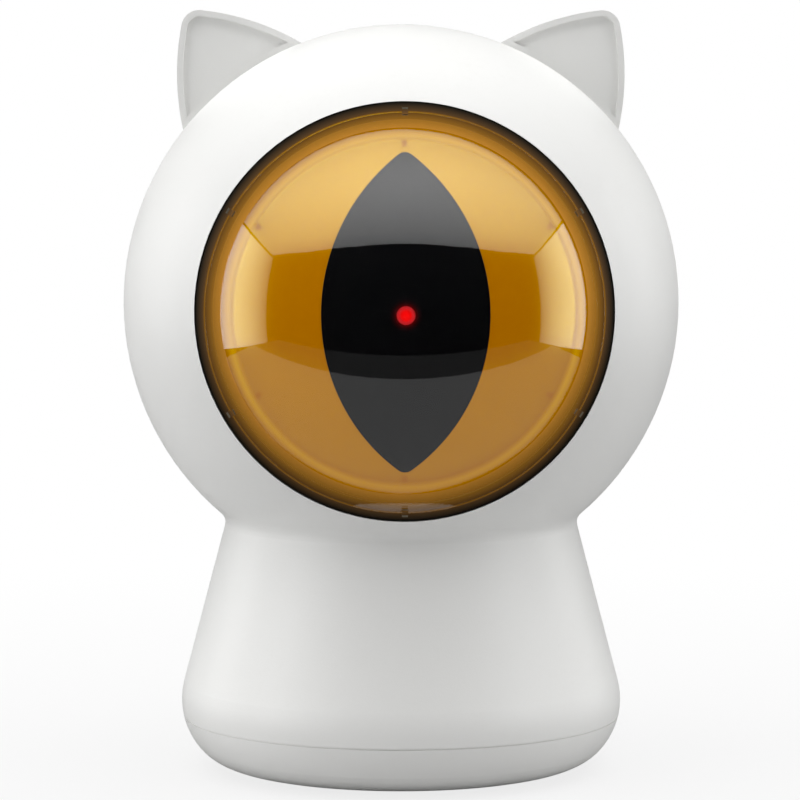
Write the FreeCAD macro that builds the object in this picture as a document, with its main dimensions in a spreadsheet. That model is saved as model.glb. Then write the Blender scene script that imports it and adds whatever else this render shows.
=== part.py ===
import FreeCAD, Part
import math
import os
import Sketcher

# Automatic cat laser toy: a cat-eared ball head on a flared pedestal. A laser looks out of the
# pupil of a motor driven eyeball, which sits on a two axis gimbal behind a clear dome.
# Millimetres. The origin is under the middle of the feet, +Z is up and the eye looks along -Y.

SIZES = (
    # head, pedestal and base
    ("head_radius", 55.0),
    ("head_height", 92.7),
    ("wall", 2.2),
    ("neck_fillet", 2.6),
    ("flare_angle", 14.8),
    ("base_radius", 43.85),
    ("base_widest_height", 13.63),
    ("base_side_curve", 14.2),
    ("base_turn_angle", 40.0),
    ("seam_height", 10.7),
    ("seam_groove", 0.3),
    ("foot_stand", 0.8),
    ("floor_thickness", 2.2),
    ("collar_height", 3.0),
    ("collar_thickness", 1.2),
    ("fit_gap", 0.15),
    ("lip_depth", 1.5),
    ("lip_thickness", 1.0),
    # ears
    ("ear_lean", 36.3),
    ("ear_base_angle", 15.35),
    ("ear_rise", 12.3),
    ("ear_tip_radius", 3.6),
    ("ear_side_curve", 51.0),
    ("ear_front", 0.6),
    ("ear_depth", 13.0),
    ("ear_back_curve", 27.4),
    ("ear_back_drop", 5.3),
    ("ear_back_round", 2.4),
    ("ear_root", 9.0),
    ("ear_rim", 1.15),
    ("ear_recess", 1.0),
    ("ear_recess_root", 4.0),
    ("ear_tongue_width", 9.0),
    ("ear_tongue_thickness", 4.0),
    ("ear_tongue_reach", 2.6),
    ("ear_tongue_sink", 2.0),
    ("ear_slot_extra", 1.0),
    # eye window, bezel and dome
    ("window_share", 0.71945),
    ("bezel_width", 1.6),
    ("bezel_flange", 3.0),
    ("bezel_seat", 1.7),
    ("bezel_wall", 2.0),
    ("dome_thickness", 2.0),
    ("glue_gap", 0.1),
    ("bezel_lip_drop", 0.35),
    ("bezel_edge_drop", 0.6),
    ("catch_width_angle", 1.8),
    ("catch_count", 6.0),
    ("catch_reach", 0.7),
    ("catch_rise", 0.5),
    ("catch_thickness", 0.35),
    ("catch_root", 1.2),
    # eyeball
    ("eye_gap", 3.5),
    ("iris_thickness", 0.5),
    ("iris_margin", 3.27),
    ("cup_thickness", 1.6),
    ("cup_reach", 78.0),
    ("pupil_half_width", 15.7),
    ("pupil_half_height", 30.0),
    ("pupil_tip_radius", 2.0),
    ("pupil_gap", 0.04),
    ("aperture_radius", 1.7),
    ("barrel_radius", 4.5),
    ("barrel_length", 22.0),
    ("barrel_chamfer", 0.6),
    ("aperture_depth", 1.0),
    ("running_gap", 0.05),
    ("post_radius", 3.0),
    ("post_across", 18.0),
    ("post_up", 8.0),
    # gimbal
    ("carrier_gap", 2.0),
    ("carrier_plate_inset", 15.5),
    ("carrier_thickness", 3.0),
    ("carrier_arm_height", 10.0),
    ("carrier_plate_height", 24.0),
    ("carrier_tail", 5.0),
    ("clamp_radius", 7.5),
    ("clamp_length", 8.0),
    ("ring_inset", 18.5),
    ("ring_width", 5.0),
    ("ring_depth", 8.0),
    ("pin_radius", 1.5),
    ("pin_proud", 0.6),
    ("pin_sink", 0.4),
    ("press", 0.02),
    ("bush_wall", 0.9),
    ("flange_width", 1.3),
    ("pan_flange", 0.4),
    ("tilt_flange", 1.2),
    ("pivot_play", 0.2),
    ("bush_rim", 1.0),
    ("chassis_arm_thickness", 3.4),
    ("chassis_arm_width", 14.0),
    ("chassis_gap", 0.74),
    ("chassis_plate", 3.0),
    ("chassis_half_width", 12.0),
    ("chassis_end_drop", 1.5),
    ("chassis_screw_across", 8.5),
    ("chassis_screw_inset", 9.5),
    ("chassis_post_radius", 3.2),
    ("chassis_pilot_depth", 6.0),
    # gears and motors
    ("tooth_module", 0.8),
    ("sector_teeth", 40.0),
    ("pinion_teeth", 12.0),
    ("gear_width", 3.0),
    ("tooth_play", 0.12),
    ("pan_sector_half_angle", 38.0),
    ("tilt_sector_half_angle", 33.0),
    ("sector_hub_radius", 5.0),
    ("hub_bore", 0.8),
    ("pan_gear_inset", 6.0),
    ("tilt_gear_inset", 5.5),
    ("tilt_motor_back", 10.0),
    ("shaft_radius", 1.5),
    ("shaft_sink", 6.0),
    ("shaft_proud", 0.3),
    ("nose_radius", 2.4),
    ("gearbox_length", 9.0),
    ("motor_length", 24.0),
    ("motor_half_width", 6.0),
    ("motor_half_depth", 5.0),
    ("motor_to_gear", 1.5),
    ("cradle_wall", 1.6),
    ("cradle_sink", 0.5),
    ("cradle_first", 3.0),
    ("cradle_last", 2.0),
    ("motor_fit", 0.1),
    # screws and their bosses
    ("screw_radius", 1.25),
    ("screw_head_radius", 2.4),
    ("screw_head_height", 1.6),
    ("case_boss_radius", 4.4),
    ("front_boss_radius", 3.4),
    ("pilot_extra", 1.0),
    ("blind_end", 1.5),
    ("well_radius", 3.0),
    ("well_floor", 8.0),
    ("case_screw_reach", 10.0),
    ("upper_boss_across", 22.0),
    ("upper_boss_drop", 9.56),
    ("lower_boss_across", 29.5),
    ("lower_boss_height", 26.0),
    ("base_screw_across", 14.5),
    ("base_screw_back", 27.4),
    ("column_radius", 3.4),
    ("column_foot", 14.2),
    ("column_length", 11.8),
    ("column_rib", 2.0),
    ("base_well_depth", 6.0),
    ("base_post_sink", 1.0),
    ("base_screw_length", 16.2),
    ("plate_screw_bite", 5.0),
    # feet, battery and electronics
    ("foot_radius", 4.5),
    ("foot_height", 1.8),
    ("foot_across", 18.4),
    ("battery_length", 50.0),
    ("battery_width", 34.0),
    ("battery_thickness", 10.0),
    ("battery_fit", 0.3),
    ("battery_round", 2.0),
    ("fence_wall", 1.2),
    ("fence_height", 7.0),
    ("fence_sink", 0.2),
    ("panel_height", 31.0),
    ("button_radius", 5.0),
    ("button_gap", 0.3),
    ("button_proud", 0.6),
    ("button_height", 4.0),
    ("button_round", 0.8),
    ("button_crown", 0.2),
    ("button_bevel", 1.0),
    ("button_flange", 1.2),
    ("button_travel", 0.8),
    ("stem_radius", 1.6),
    ("inlet_below", 10.5),
    ("inlet_half_width", 4.47),
    ("inlet_half_height", 1.63),
    ("inlet_gap", 0.2),
    ("inlet_shell", 0.3),
    ("inlet_recess", 0.6),
    ("inlet_tongue", 0.7),
    ("board_depth", 12.0),
    ("board_thickness", 1.6),
    ("board_half_width", 10.6),
    ("board_above", 11.0),
    ("board_below", 13.0),
    ("board_boss_radius", 2.6),
    ("board_screw_across", 7.5),
    ("board_screw_up", 8.0),
    ("board_boss_into_wall", 3.4),
    ("switch_half_width", 3.0),
    ("switch_height", 3.5),
    ("switch_well", 2.7),
    ("plunger_radius", 1.7),
    ("chip_width", 6.4),
    ("chip_far", 9.8),
    ("chip_near", 3.4),
)

doc = FreeCAD.newDocument("CatLaserToy")
V = FreeCAD.Vector
NEAR = 0.01  # how far off an edge may lie and still be the one that is looked for
BLUNT = 1.03  # a flat oval's end arcs are a little larger than half circles


class Size:
    """A number that also keeps the spreadsheet expression it was worked out from."""

    def __init__(self, value, text):
        self.value = value
        self.text = text

    def __float__(self):
        return self.value

    def __neg__(self):
        return Size(-self.value, f"(-1 * {self.text})")

    def __add__(self, other):
        return Size(self.value + float(other), f"({self.text} + {words(other)})")

    def __radd__(self, other):
        return Size(float(other) + self.value, f"({words(other)} + {self.text})")

    def __sub__(self, other):
        return Size(self.value - float(other), f"({self.text} - {words(other)})")

    def __rsub__(self, other):
        return Size(float(other) - self.value, f"({words(other)} - {self.text})")

    def __mul__(self, other):
        return Size(self.value * float(other), f"({self.text} * {words(other)})")

    def __rmul__(self, other):
        return Size(float(other) * self.value, f"({words(other)} * {self.text})")

    def __truediv__(self, other):
        return Size(self.value / float(other), f"({self.text} / {words(other)})")


def words(number):
    return number.text if isinstance(number, Size) else f"({float(number)!r})"


def root(size):
    return Size(math.sqrt(size.value), f"sqrt({size.text})")


def sine(degrees):
    return Size(math.sin(math.radians(degrees.value)), f"sin({degrees.text})")


def cosine(degrees):
    return Size(math.cos(math.radians(degrees.value)), f"cos({degrees.text})")


class Names:
    """Holds the driving sizes as attributes, such as D.wall."""


def fill_sheet(rows):
    sheet = doc.addObject("Spreadsheet::Sheet", "Sizes")
    names = Names()
    for row, (name, value) in enumerate(rows, start=1):
        sheet.set(f"A{row}", name)
        sheet.set(f"B{row}", str(value))
        sheet.setAlias(f"B{row}", name)
        setattr(names, name, Size(value, f"Sizes.{name}"))
    return names


D = fill_sheet(SIZES)
worked_out = doc.addObject("App::VarSet", "Places")
doc.recompute()


def place(name, size):
    """Keeps a worked out size under a name of its own, so that expressions stay short."""
    worked_out.addProperty("App::PropertyFloat", name)
    worked_out.setExpression(name, size.text)
    return Size(size.value, f"Places.{name}")


def bind(thing, path, size):
    if isinstance(size, Size):
        thing.setExpression(path, size.text)
    else:
        setattr(thing, path, size)


# ---------------------------------------------------------------- sketches and features

def new_body(label, height=None, turn=None, back=None, across=None):
    """A body whose frame may be raised, moved back, moved across and turned."""
    body = doc.addObject("PartDesign::Body", label)
    body.Label = label
    body.Placement = FreeCAD.Placement(V(0, 0, 0), turn or FreeCAD.Rotation())
    for axis, size in (("x", across), ("y", back), ("z", height)):
        if size is not None:
            bind(body, f"Placement.Base.{axis}", size)
    return body


def origin_part(body, role):
    return next(item for item in body.Origin.OriginFeatures if item.Role == role)


def new_sketch(body, plane, offset=None):
    sketch = body.newObject("Sketcher::SketchObject", f"{body.Name}_sketch")
    sketch.AttachmentSupport = (origin_part(body, plane), [""])
    sketch.MapMode = "FlatFace"
    if offset is not None:
        bind(sketch, "AttachmentOffset.Base.z", offset)
    return sketch


def limit(sketch, kind, geometry, corner, size):
    """Ties one coordinate of a sketch point to a size, or puts it on an axis where it is zero."""
    if not isinstance(size, Size) and size == 0:
        axis = -2 if kind == "DistanceX" else -1
        sketch.addConstraint(Sketcher.Constraint("PointOnObject", geometry, corner, axis))
        return
    number = sketch.addConstraint(
        Sketcher.Constraint(kind, -1, 1, geometry, corner, float(size))
    )
    bind(sketch, f"Constraints[{number}]", size)


def arc_between(start, end, radius):
    """An arc from start to end. A positive radius runs clockwise, a negative one the other way."""
    chord = end - start
    half = chord.Length / 2
    size = abs(float(radius))
    side = 1 if float(radius) > 0 else -1
    normal = V(chord.y, -chord.x, 0).normalize() * side
    centre = start + chord / 2 + normal * math.sqrt(max(size * size - half * half, 0))
    first, last = (end, start) if side > 0 else (start, end)
    angles = [math.atan2(point.y - centre.y, point.x - centre.x) for point in (first, last)]
    if angles[1] < angles[0]:
        angles[1] += 2 * math.pi
    circle = Part.Circle(centre, V(0, 0, 1), size)
    return Part.ArcOfCircle(circle, angles[0], angles[1])


def add_outline(sketch, corners):
    """Draws one closed outline. A corner is (x, y), or (x, y, radius) where an arc leads on."""
    points = [V(float(corner[0]), float(corner[1]), 0) for corner in corners]
    starts, ends, numbers = [], [], []
    for index, corner in enumerate(corners):
        start, end = points[index], points[(index + 1) % len(points)]
        if len(corner) == 3:
            number = sketch.addGeometry(arc_between(start, end, corner[2]), False)
            clockwise = float(corner[2]) > 0
            starts.append(2 if clockwise else 1)
            ends.append(1 if clockwise else 2)
            tie = sketch.addConstraint(
                Sketcher.Constraint("Radius", number, abs(float(corner[2])))
            )
            bind(sketch, f"Constraints[{tie}]", corner[2] if float(corner[2]) > 0 else -corner[2])
        else:
            number = sketch.addGeometry(Part.LineSegment(start, end), False)
            starts.append(1)
            ends.append(2)
        numbers.append(number)
    for index, corner in enumerate(corners):
        before = index - 1
        sketch.addConstraint(
            Sketcher.Constraint(
                "Coincident", numbers[before], ends[before], numbers[index], starts[index]
            )
        )
        limit(sketch, "DistanceX", numbers[index], starts[index], corner[0])
        limit(sketch, "DistanceY", numbers[index], starts[index], corner[1])


def add_circle(sketch, x, y, radius):
    circle = Part.Circle(V(float(x), float(y), 0), V(0, 0, 1), float(radius))
    number = sketch.addGeometry(circle, False)
    tie = sketch.addConstraint(Sketcher.Constraint("Radius", number, float(radius)))
    bind(sketch, f"Constraints[{tie}]", radius)
    limit(sketch, "DistanceX", number, 3, x)
    limit(sketch, "DistanceY", number, 3, y)


def box_corners(left, right, low, high):
    return [(left, low), (right, low), (right, high), (left, high)]


def four_places(across, up, middle=0):
    """The four mirrored places about the middle."""
    return [
        (side * across, middle + lift * up) for side in (-1, 1) for lift in (-1, 1)
    ]


def sketch_of(body, plane, offset=None, outlines=(), circles=()):
    sketch = new_sketch(body, plane, offset)
    for corners in outlines:
        add_outline(sketch, corners)
    for x, y, radius in circles:
        add_circle(sketch, x, y, radius)
    return sketch


def new_feature(body, kind, sketch):
    feature = body.newObject(f"PartDesign::{kind}", f"{body.Name}_{kind}")
    feature.Profile = sketch
    sketch.Visibility = False
    return feature


def pad(body, sketch, length=None, along=True, both=False, up_to_wall=False):
    feature = new_feature(body, "Pad", sketch)
    feature.Reversed = not along
    if both:
        feature.SideType = "Symmetric"
    if up_to_wall:
        feature.Type = "UpToFirst"
    else:
        bind(feature, "Length", length)
    doc.recompute()
    return feature


def pocket(body, sketch, length=None, along=False, both=False):
    """Cuts against the sketch's normal, or along it, or both ways; right through if no length."""
    before = body.Shape.Volume
    feature = new_feature(body, "Pocket", sketch)
    feature.Reversed = along
    if both:
        feature.SideType = "Symmetric"
    if length is None:
        feature.Type = "ThroughAll"
    else:
        bind(feature, "Length", length)
    doc.recompute()
    if not feature.Shape.Volume < before:
        raise RuntimeError(f"{feature.Name} cuts nothing")
    return feature


def turn_about_axis(body, sketch, angle=360.0, backwards=False, axis="V_Axis"):
    feature = new_feature(body, "Revolution", sketch)
    feature.ReferenceAxis = (sketch, [axis])
    bind(feature, "Angle", angle)
    feature.Reversed = backwards
    doc.recompute()
    return feature


def mirrored(body, feature, plane="YZ_Plane"):
    copy = body.newObject("PartDesign::Mirrored", f"{body.Name}_Mirrored")
    copy.Originals = [feature]
    copy.MirrorPlane = (origin_part(body, plane), [""])
    body.Tip = copy
    doc.recompute()
    return copy


def round_edges(body, radius, wanted):
    """Fillets the edges of the tip that the test picks."""
    base = body.Tip
    names = [
        f"Edge{index}" for index, edge in enumerate(base.Shape.Edges, start=1) if wanted(edge)
    ]
    if not names:
        raise RuntimeError(f"{body.Name} has no such edge")
    feature = body.newObject("PartDesign::Fillet", f"{body.Name}_Fillet")
    feature.Base = (base, names)
    bind(feature, "Radius", radius)
    doc.recompute()
    return feature


FRONT = FreeCAD.Rotation(V(1, 0, 0), 90)  # local Z looks out of the eye, local Y is up
SIDE = FreeCAD.Rotation(V(1, 1, 1), 120)  # local Z points along the tilt axis

# ---------------------------------------------------------------- places shared by the pieces

slope = place("slope", sine(D.flare_angle) / cosine(D.flare_angle))
curve_centre = place("curve_centre", D.base_radius - D.base_side_curve)
bottom_drop = D.base_widest_height - D.foot_stand - D.base_side_curve * sine(D.base_turn_angle)
bottom_curve = place("bottom_curve", bottom_drop / (1 - sine(D.base_turn_angle)))
bottom_centre = place(
    "bottom_centre",
    curve_centre + (D.base_side_curve - bottom_curve) * cosine(D.base_turn_angle),
)


def circle_reach(radius, other):
    """The other leg of a right triangle with this hypotenuse."""
    return root(radius * radius - other * other)


def housing_line(name, inset):
    """The key points of the housing's outline, moved inwards by an inset."""
    side = D.base_side_curve - inset
    foot_x = place(f"{name}_foot_x", curve_centre + side * cosine(D.flare_angle))
    foot_z = place(f"{name}_foot_z", D.base_widest_height + side * sine(D.flare_angle))
    ball = D.head_radius - inset
    reach = place(f"{name}_reach", foot_x + slope * (foot_z - D.head_height))
    spread = place(f"{name}_spread", 1 + slope * slope)
    drop = place(
        f"{name}_drop", (reach * slope - root(ball * ball * spread - reach * reach)) / spread
    )
    return {
        "side": side,
        "ball": ball,
        "foot": (foot_x, foot_z),
        "neck": (place(f"{name}_neck_x", reach - slope * drop), D.head_height + drop),
        "seam_x": place(
            f"{name}_seam_x",
            curve_centre + circle_reach(side, D.base_widest_height - D.seam_height),
        ),
        "reach": reach,
    }


outer_line = housing_line("outer", D.wall * 0)
inner_line = housing_line("inner", D.wall)


def wall_profile(outside, inside):
    """The housing's wall, from the crown down to the seam and back up inside."""
    return [
        (0, D.head_height + outside["ball"], outside["ball"]),
        outside["neck"],
        (*outside["foot"], outside["side"]),
        (outside["seam_x"], D.seam_height),
        (inside["seam_x"], D.seam_height, -inside["side"]),
        inside["foot"],
        (*inside["neck"], -inside["ball"]),
        (0, D.head_height + inside["ball"]),
    ]


def pedestal_radius(height, line):
    """The radius of the pedestal's cone at a height."""
    return line["reach"] - slope * (height - D.head_height)


window_radius = place("window_radius", D.head_radius * D.window_share)
bezel_outer = window_radius - D.fit_gap
bezel_inner = bezel_outer - D.bezel_width
dome_inner = D.head_radius - D.dome_thickness
seat_radius = dome_inner - D.glue_gap
shell_inner = D.head_radius - D.wall
eye_radius = place("eye_radius", dome_inner - D.eye_gap)
iris_radius = place("iris_radius", bezel_inner - D.iris_margin)
iris_inner = eye_radius - D.iris_thickness
cup_inner = iris_inner - D.cup_thickness
bush_radius = D.pin_radius + D.running_gap + D.bush_wall
ring_inner_radius = place("ring_inner_radius", eye_radius - D.ring_inset)
ring_outer = ring_inner_radius + D.ring_width
carrier_half_width = place("carrier_half_width", ring_inner_radius - D.carrier_gap)
carrier_inner = carrier_half_width - D.carrier_thickness
carrier_plate_front = place("carrier_plate_front", eye_radius - D.carrier_plate_inset)
pan_gear_height = place("pan_gear_height", ring_inner_radius - D.pan_gear_inset)
tilt_gear_side = place("tilt_gear_side", carrier_inner - D.tilt_gear_inset)
arm_inner = place("arm_inner", ring_outer + D.pan_flange + D.pivot_play)
arm_outer = place("arm_outer", arm_inner + D.chassis_arm_thickness)
arm_corner = place(
    "arm_corner", arm_outer * arm_outer + D.chassis_arm_width * D.chassis_arm_width / 4
)
chassis_seat = place(
    "chassis_seat", root(shell_inner * shell_inner - arm_corner) - D.chassis_gap
)
chassis_back = chassis_seat - D.chassis_plate
chassis_half_height = arm_outer - D.chassis_end_drop
chassis_screw_up = place("chassis_screw_up", chassis_half_height - D.chassis_screw_inset)
gear_distance = place(
    "gear_distance", D.tooth_module * (D.sector_teeth + D.pinion_teeth) / 2
)
tilt_motor_drop = place("tilt_motor_drop", circle_reach(gear_distance, D.tilt_motor_back))
case_screws = (
    (D.upper_boss_across, outer_line["neck"][1] - D.upper_boss_drop),
    (D.lower_boss_across, D.lower_boss_height),
)
board_screw_places = [(side * D.board_screw_across, -D.board_screw_up) for side in (-1, 1)]
panel_back = place("panel_back", pedestal_radius(D.panel_height, outer_line))
PANEL = FreeCAD.Rotation(V(1, 0, 0), -(90 - D.flare_angle.value))  # local Z leaves the rear wall

# ---------------------------------------------------------------- housing

def shell_half(label, backwards):
    body = new_body(label)
    profile = sketch_of(body, "XZ_Plane", outlines=[wall_profile(outer_line, inner_line)])
    turn_about_axis(body, profile, 180.0, backwards)
    neck_x, neck_z = outer_line["neck"]

    def at_neck(edge):
        box = edge.BoundBox
        level = box.ZLength < NEAR and abs(box.ZMin - neck_z.value) < NEAR
        return level and abs(box.XMax - neck_x.value) < NEAR

    round_edges(body, D.neck_fillet, at_neck)
    return body


def lip_outline(gap):
    """The strip along the split edge, between the inner face and the middle of the wall."""
    inner_side = inner_line["side"]
    outside = housing_line(f"lip_{round(gap.value * 1000)}", D.wall - D.lip_thickness - gap)
    return [
        (0, D.head_height + outside["ball"], outside["ball"]),
        outside["neck"],
        (*outside["foot"], outside["side"]),
        (outside["seam_x"], D.seam_height),
        (inner_line["seam_x"], D.seam_height, -inner_side),
        inner_line["foot"],
        (*inner_line["neck"], -inner_line["ball"]),
        (0, D.head_height + inner_line["ball"]),
    ]


def add_case_bosses(body, radius, along):
    circles = [(side * x, z, radius) for x, z in case_screws for side in (-1, 1)]
    pad(body, sketch_of(body, "XZ_Plane", circles=circles), along=along, up_to_wall=True)


def add_base_columns(body, side):
    """Two screw columns with ribs, which the base plate's screws are driven into."""
    places = [(-D.base_screw_across, side * D.base_screw_back)]
    places.append((D.base_screw_across, side * D.base_screw_back))
    circles = [(x, y, D.column_radius) for x, y in places]
    pad(body, sketch_of(body, "XY_Plane", D.column_foot, circles=circles), D.column_length)
    top = D.column_foot + D.column_length
    wall_radius = pedestal_radius(top, inner_line) + D.wall / 2
    wall_back = side * place(f"rib_end_{'rear' if side > 0 else 'front'}",
                             circle_reach(wall_radius, D.base_screw_across + D.column_rib / 2))
    ribs = [
        box_corners(x - D.column_rib / 2, x + D.column_rib / 2, *sorted((y, wall_back), key=float))
        for x, y in places
    ]
    pad(body, sketch_of(body, "XY_Plane", D.column_foot, outlines=ribs), D.column_length)
    holes = [(x, y, D.screw_radius - D.running_gap) for x, y in places]
    hole_sketch = sketch_of(body, "XY_Plane", D.column_foot, circles=holes)
    pocket(body, hole_sketch, D.column_length - D.blind_end, along=True)


def make_front_shell():
    body = shell_half("front_shell", backwards=True)
    add_case_bosses(body, D.front_boss_radius, along=True)
    add_base_columns(body, -1)
    window = sketch_of(body, "XZ_Plane", circles=[(0, D.head_height, window_radius)])
    pocket(body, window, along=True)
    rabbet = sketch_of(body, "XZ_Plane", outlines=[lip_outline(D.fit_gap)])
    mirrored(body, pocket(body, rabbet, D.lip_depth + D.fit_gap, along=True))
    pilots = [(side * x, z, D.screw_radius - D.running_gap) for x, z in case_screws
              for side in (-1, 1)]
    pilot_sketch = sketch_of(body, "XZ_Plane", circles=pilots)
    pocket(body, pilot_sketch, D.case_screw_reach + D.pilot_extra, along=True)
    return body


def join_or_cut(body, kind, sizes, spot, turn=None):
    """Adds a primitive of these sizes to the body, or cuts it out, at a spot, turned if asked."""
    before = body.Shape.Volume
    feature = body.newObject(f"PartDesign::{kind}", f"{body.Name}_{kind}")
    for name, size in sizes.items():
        bind(feature, name, size)
    feature.Placement = FreeCAD.Placement(V(0, 0, 0), turn or FreeCAD.Rotation())
    for axis, size in zip("xyz", spot):
        if isinstance(size, Size):
            bind(feature, f"Placement.Base.{axis}", size)
    doc.recompute()
    if kind.startswith("Subtractive") and not feature.Shape.Volume < before:
        raise RuntimeError(f"{feature.Name} cuts nothing")
    return feature


def panel_spot(across, down, out):
    """A point of the slanted rear panel: across, down along the wall and out from it."""
    return (
        across,
        panel_back + down * sine(D.flare_angle) + out * cosine(D.flare_angle),
        D.panel_height - down * cosine(D.flare_angle) + out * sine(D.flare_angle),
    )


def cut_seam_groove(body):
    """The fine shadow line round the split edge."""
    beyond = housing_line("beyond", D.wall * -1)
    floor = housing_line("groove", D.seam_groove)
    strip = sketch_of(body, "XZ_Plane", outlines=[wall_profile(beyond, floor)])
    mirrored(body, pocket(body, strip, D.seam_groove))


def make_rear_shell():
    body = shell_half("rear_shell", backwards=False)
    add_case_bosses(body, D.case_boss_radius, along=False)
    add_base_columns(body, 1)
    lip = sketch_of(body, "XZ_Plane", outlines=[lip_outline(D.wall * 0)])
    mirrored(body, pad(body, lip, D.lip_depth, along=True))
    chassis_places = four_places(D.chassis_screw_across, chassis_screw_up, D.head_height)
    posts = [(x, z, D.chassis_post_radius) for x, z in chassis_places]
    post_sketch = sketch_of(body, "XZ_Plane", -chassis_seat, circles=posts)
    pad(body, post_sketch, along=False, up_to_wall=True)
    pilots = [(x, z, D.screw_radius - D.running_gap) for x, z in chassis_places]
    pilot_sketch = sketch_of(body, "XZ_Plane", -chassis_seat, circles=pilots)
    pocket(body, pilot_sketch, D.chassis_pilot_depth)
    wells = [(side * x, z, D.well_radius) for x, z in case_screws for side in (-1, 1)]
    pocket(body, sketch_of(body, "XZ_Plane", -D.well_floor, circles=wells))
    holes = [(x, z, D.screw_radius + D.fit_gap) for x, z, radius in wells]
    pocket(body, sketch_of(body, "XZ_Plane", circles=holes), D.well_floor + D.pilot_extra)
    join_or_cut(
        body,
        "SubtractiveCylinder",
        {"Radius": D.button_radius + D.button_gap, "Height": D.wall * 3},
        panel_spot(0, 0, -D.wall * 2),
        PANEL,
    )
    half_width = D.inlet_half_width + D.inlet_gap
    half_height = D.inlet_half_height + D.inlet_gap
    spot = panel_spot(-half_width, D.inlet_below - half_height, -D.wall * 2)
    slot = {"Length": half_width * 2, "Width": half_height * 2, "Height": D.wall * 4}
    join_or_cut(body, "SubtractiveBox", slot, spot, PANEL)
    for place_on_board in board_screw_places:
        add_board_boss(body, *place_on_board)
    for side in (-1, 1):
        cut_ear_slot(body, side)
    cut_seam_groove(body)
    return body


def add_board_boss(body, across, down):
    """A post inside the slanted rear wall, which a corner of the board is screwed to."""
    reach = D.board_depth - D.board_boss_into_wall
    post = {"Radius": D.board_boss_radius, "Height": reach}
    spot = panel_spot(across, down, -D.board_depth)
    join_or_cut(body, "AdditiveCylinder", post, spot, PANEL)
    hole = {"Radius": D.screw_radius - D.running_gap, "Height": reach - D.blind_end}
    join_or_cut(body, "SubtractiveCylinder", hole, spot, PANEL)


def ear_turn(side):
    return FreeCAD.Rotation(V(0, 1, 0), side * D.ear_lean.value)


def cut_ear_slot(body, side):
    """The slot that an ear's tongue goes into, cut across the wall on the ear's slanted axis."""
    width = D.ear_tongue_width + D.fit_gap * 2
    depth = D.ear_tongue_thickness + D.fit_gap * 2
    low = shell_inner - D.ear_slot_extra
    spot = (
        side * low * sine(D.ear_lean) - width / 2 * cosine(D.ear_lean),
        D.ear_front + D.ear_depth / 2 - depth / 2,
        D.head_height + low * cosine(D.ear_lean) + side * width / 2 * sine(D.ear_lean),
    )
    slot = {"Length": width, "Width": depth, "Height": D.wall + D.ear_slot_extra * 2}
    join_or_cut(body, "SubtractiveBox", slot, spot, ear_turn(side))


# ---------------------------------------------------------------- ears

def ear_outline(inset):
    """A leaf shaped outline about the ear's axis: two bowed sides and a rounded tip."""
    base_half = D.head_radius * sine(D.ear_base_angle)
    base_up = D.head_radius * cosine(D.ear_base_angle)
    tip_radius = D.ear_tip_radius - inset
    side_radius = D.ear_side_curve - inset
    # the side arc meets the base corner and the tip circle from inside
    gap = (D.ear_side_curve - D.ear_tip_radius).value
    corner = V(base_half.value, base_up.value, 0)
    tip = V(0, (D.head_radius + D.ear_rise).value, 0)
    apart = corner.distanceToPoint(tip)
    full = D.ear_side_curve.value
    along = (apart * apart + gap * gap - full * full) / (2 * apart)
    aside = math.sqrt(gap * gap - along * along)
    way = (corner - tip).normalize()
    centre = tip + way * along + V(way.y, -way.x, 0) * aside
    return tip, centre, tip_radius.value, side_radius.value


def ear_face(inset, root_depth):
    """The ear's flat outline in its own XZ plane, from a depth inside the ball to the tip."""
    tip, centre, tip_radius, side_radius = ear_outline(inset)
    shoulder = tip + (tip - centre).normalize() * tip_radius
    top = V(0, tip.y + tip_radius, 0)
    low = (D.head_radius - root_depth).value
    foot = V(centre.x + math.sqrt(side_radius**2 - (low - centre.y) ** 2), low, 0)
    middle_angle = (
        math.atan2(foot.y - centre.y, foot.x - centre.x)
        + math.atan2(shoulder.y - centre.y, shoulder.x - centre.x)
    ) / 2
    bow = centre + V(math.cos(middle_angle), math.sin(middle_angle), 0) * side_radius

    def standing(point, side=1):
        return V(side * point.x, 0, point.y)

    edges = [
        Part.Arc(standing(foot), standing(bow), standing(shoulder)).toShape(),
        Part.Arc(standing(shoulder), standing(top), standing(shoulder, -1)).toShape(),
        Part.Arc(standing(shoulder, -1), standing(bow, -1), standing(foot, -1)).toShape(),
        Part.makeLine(standing(foot, -1), standing(foot)),
    ]
    return Part.Face(Part.Wire(edges))


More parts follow.
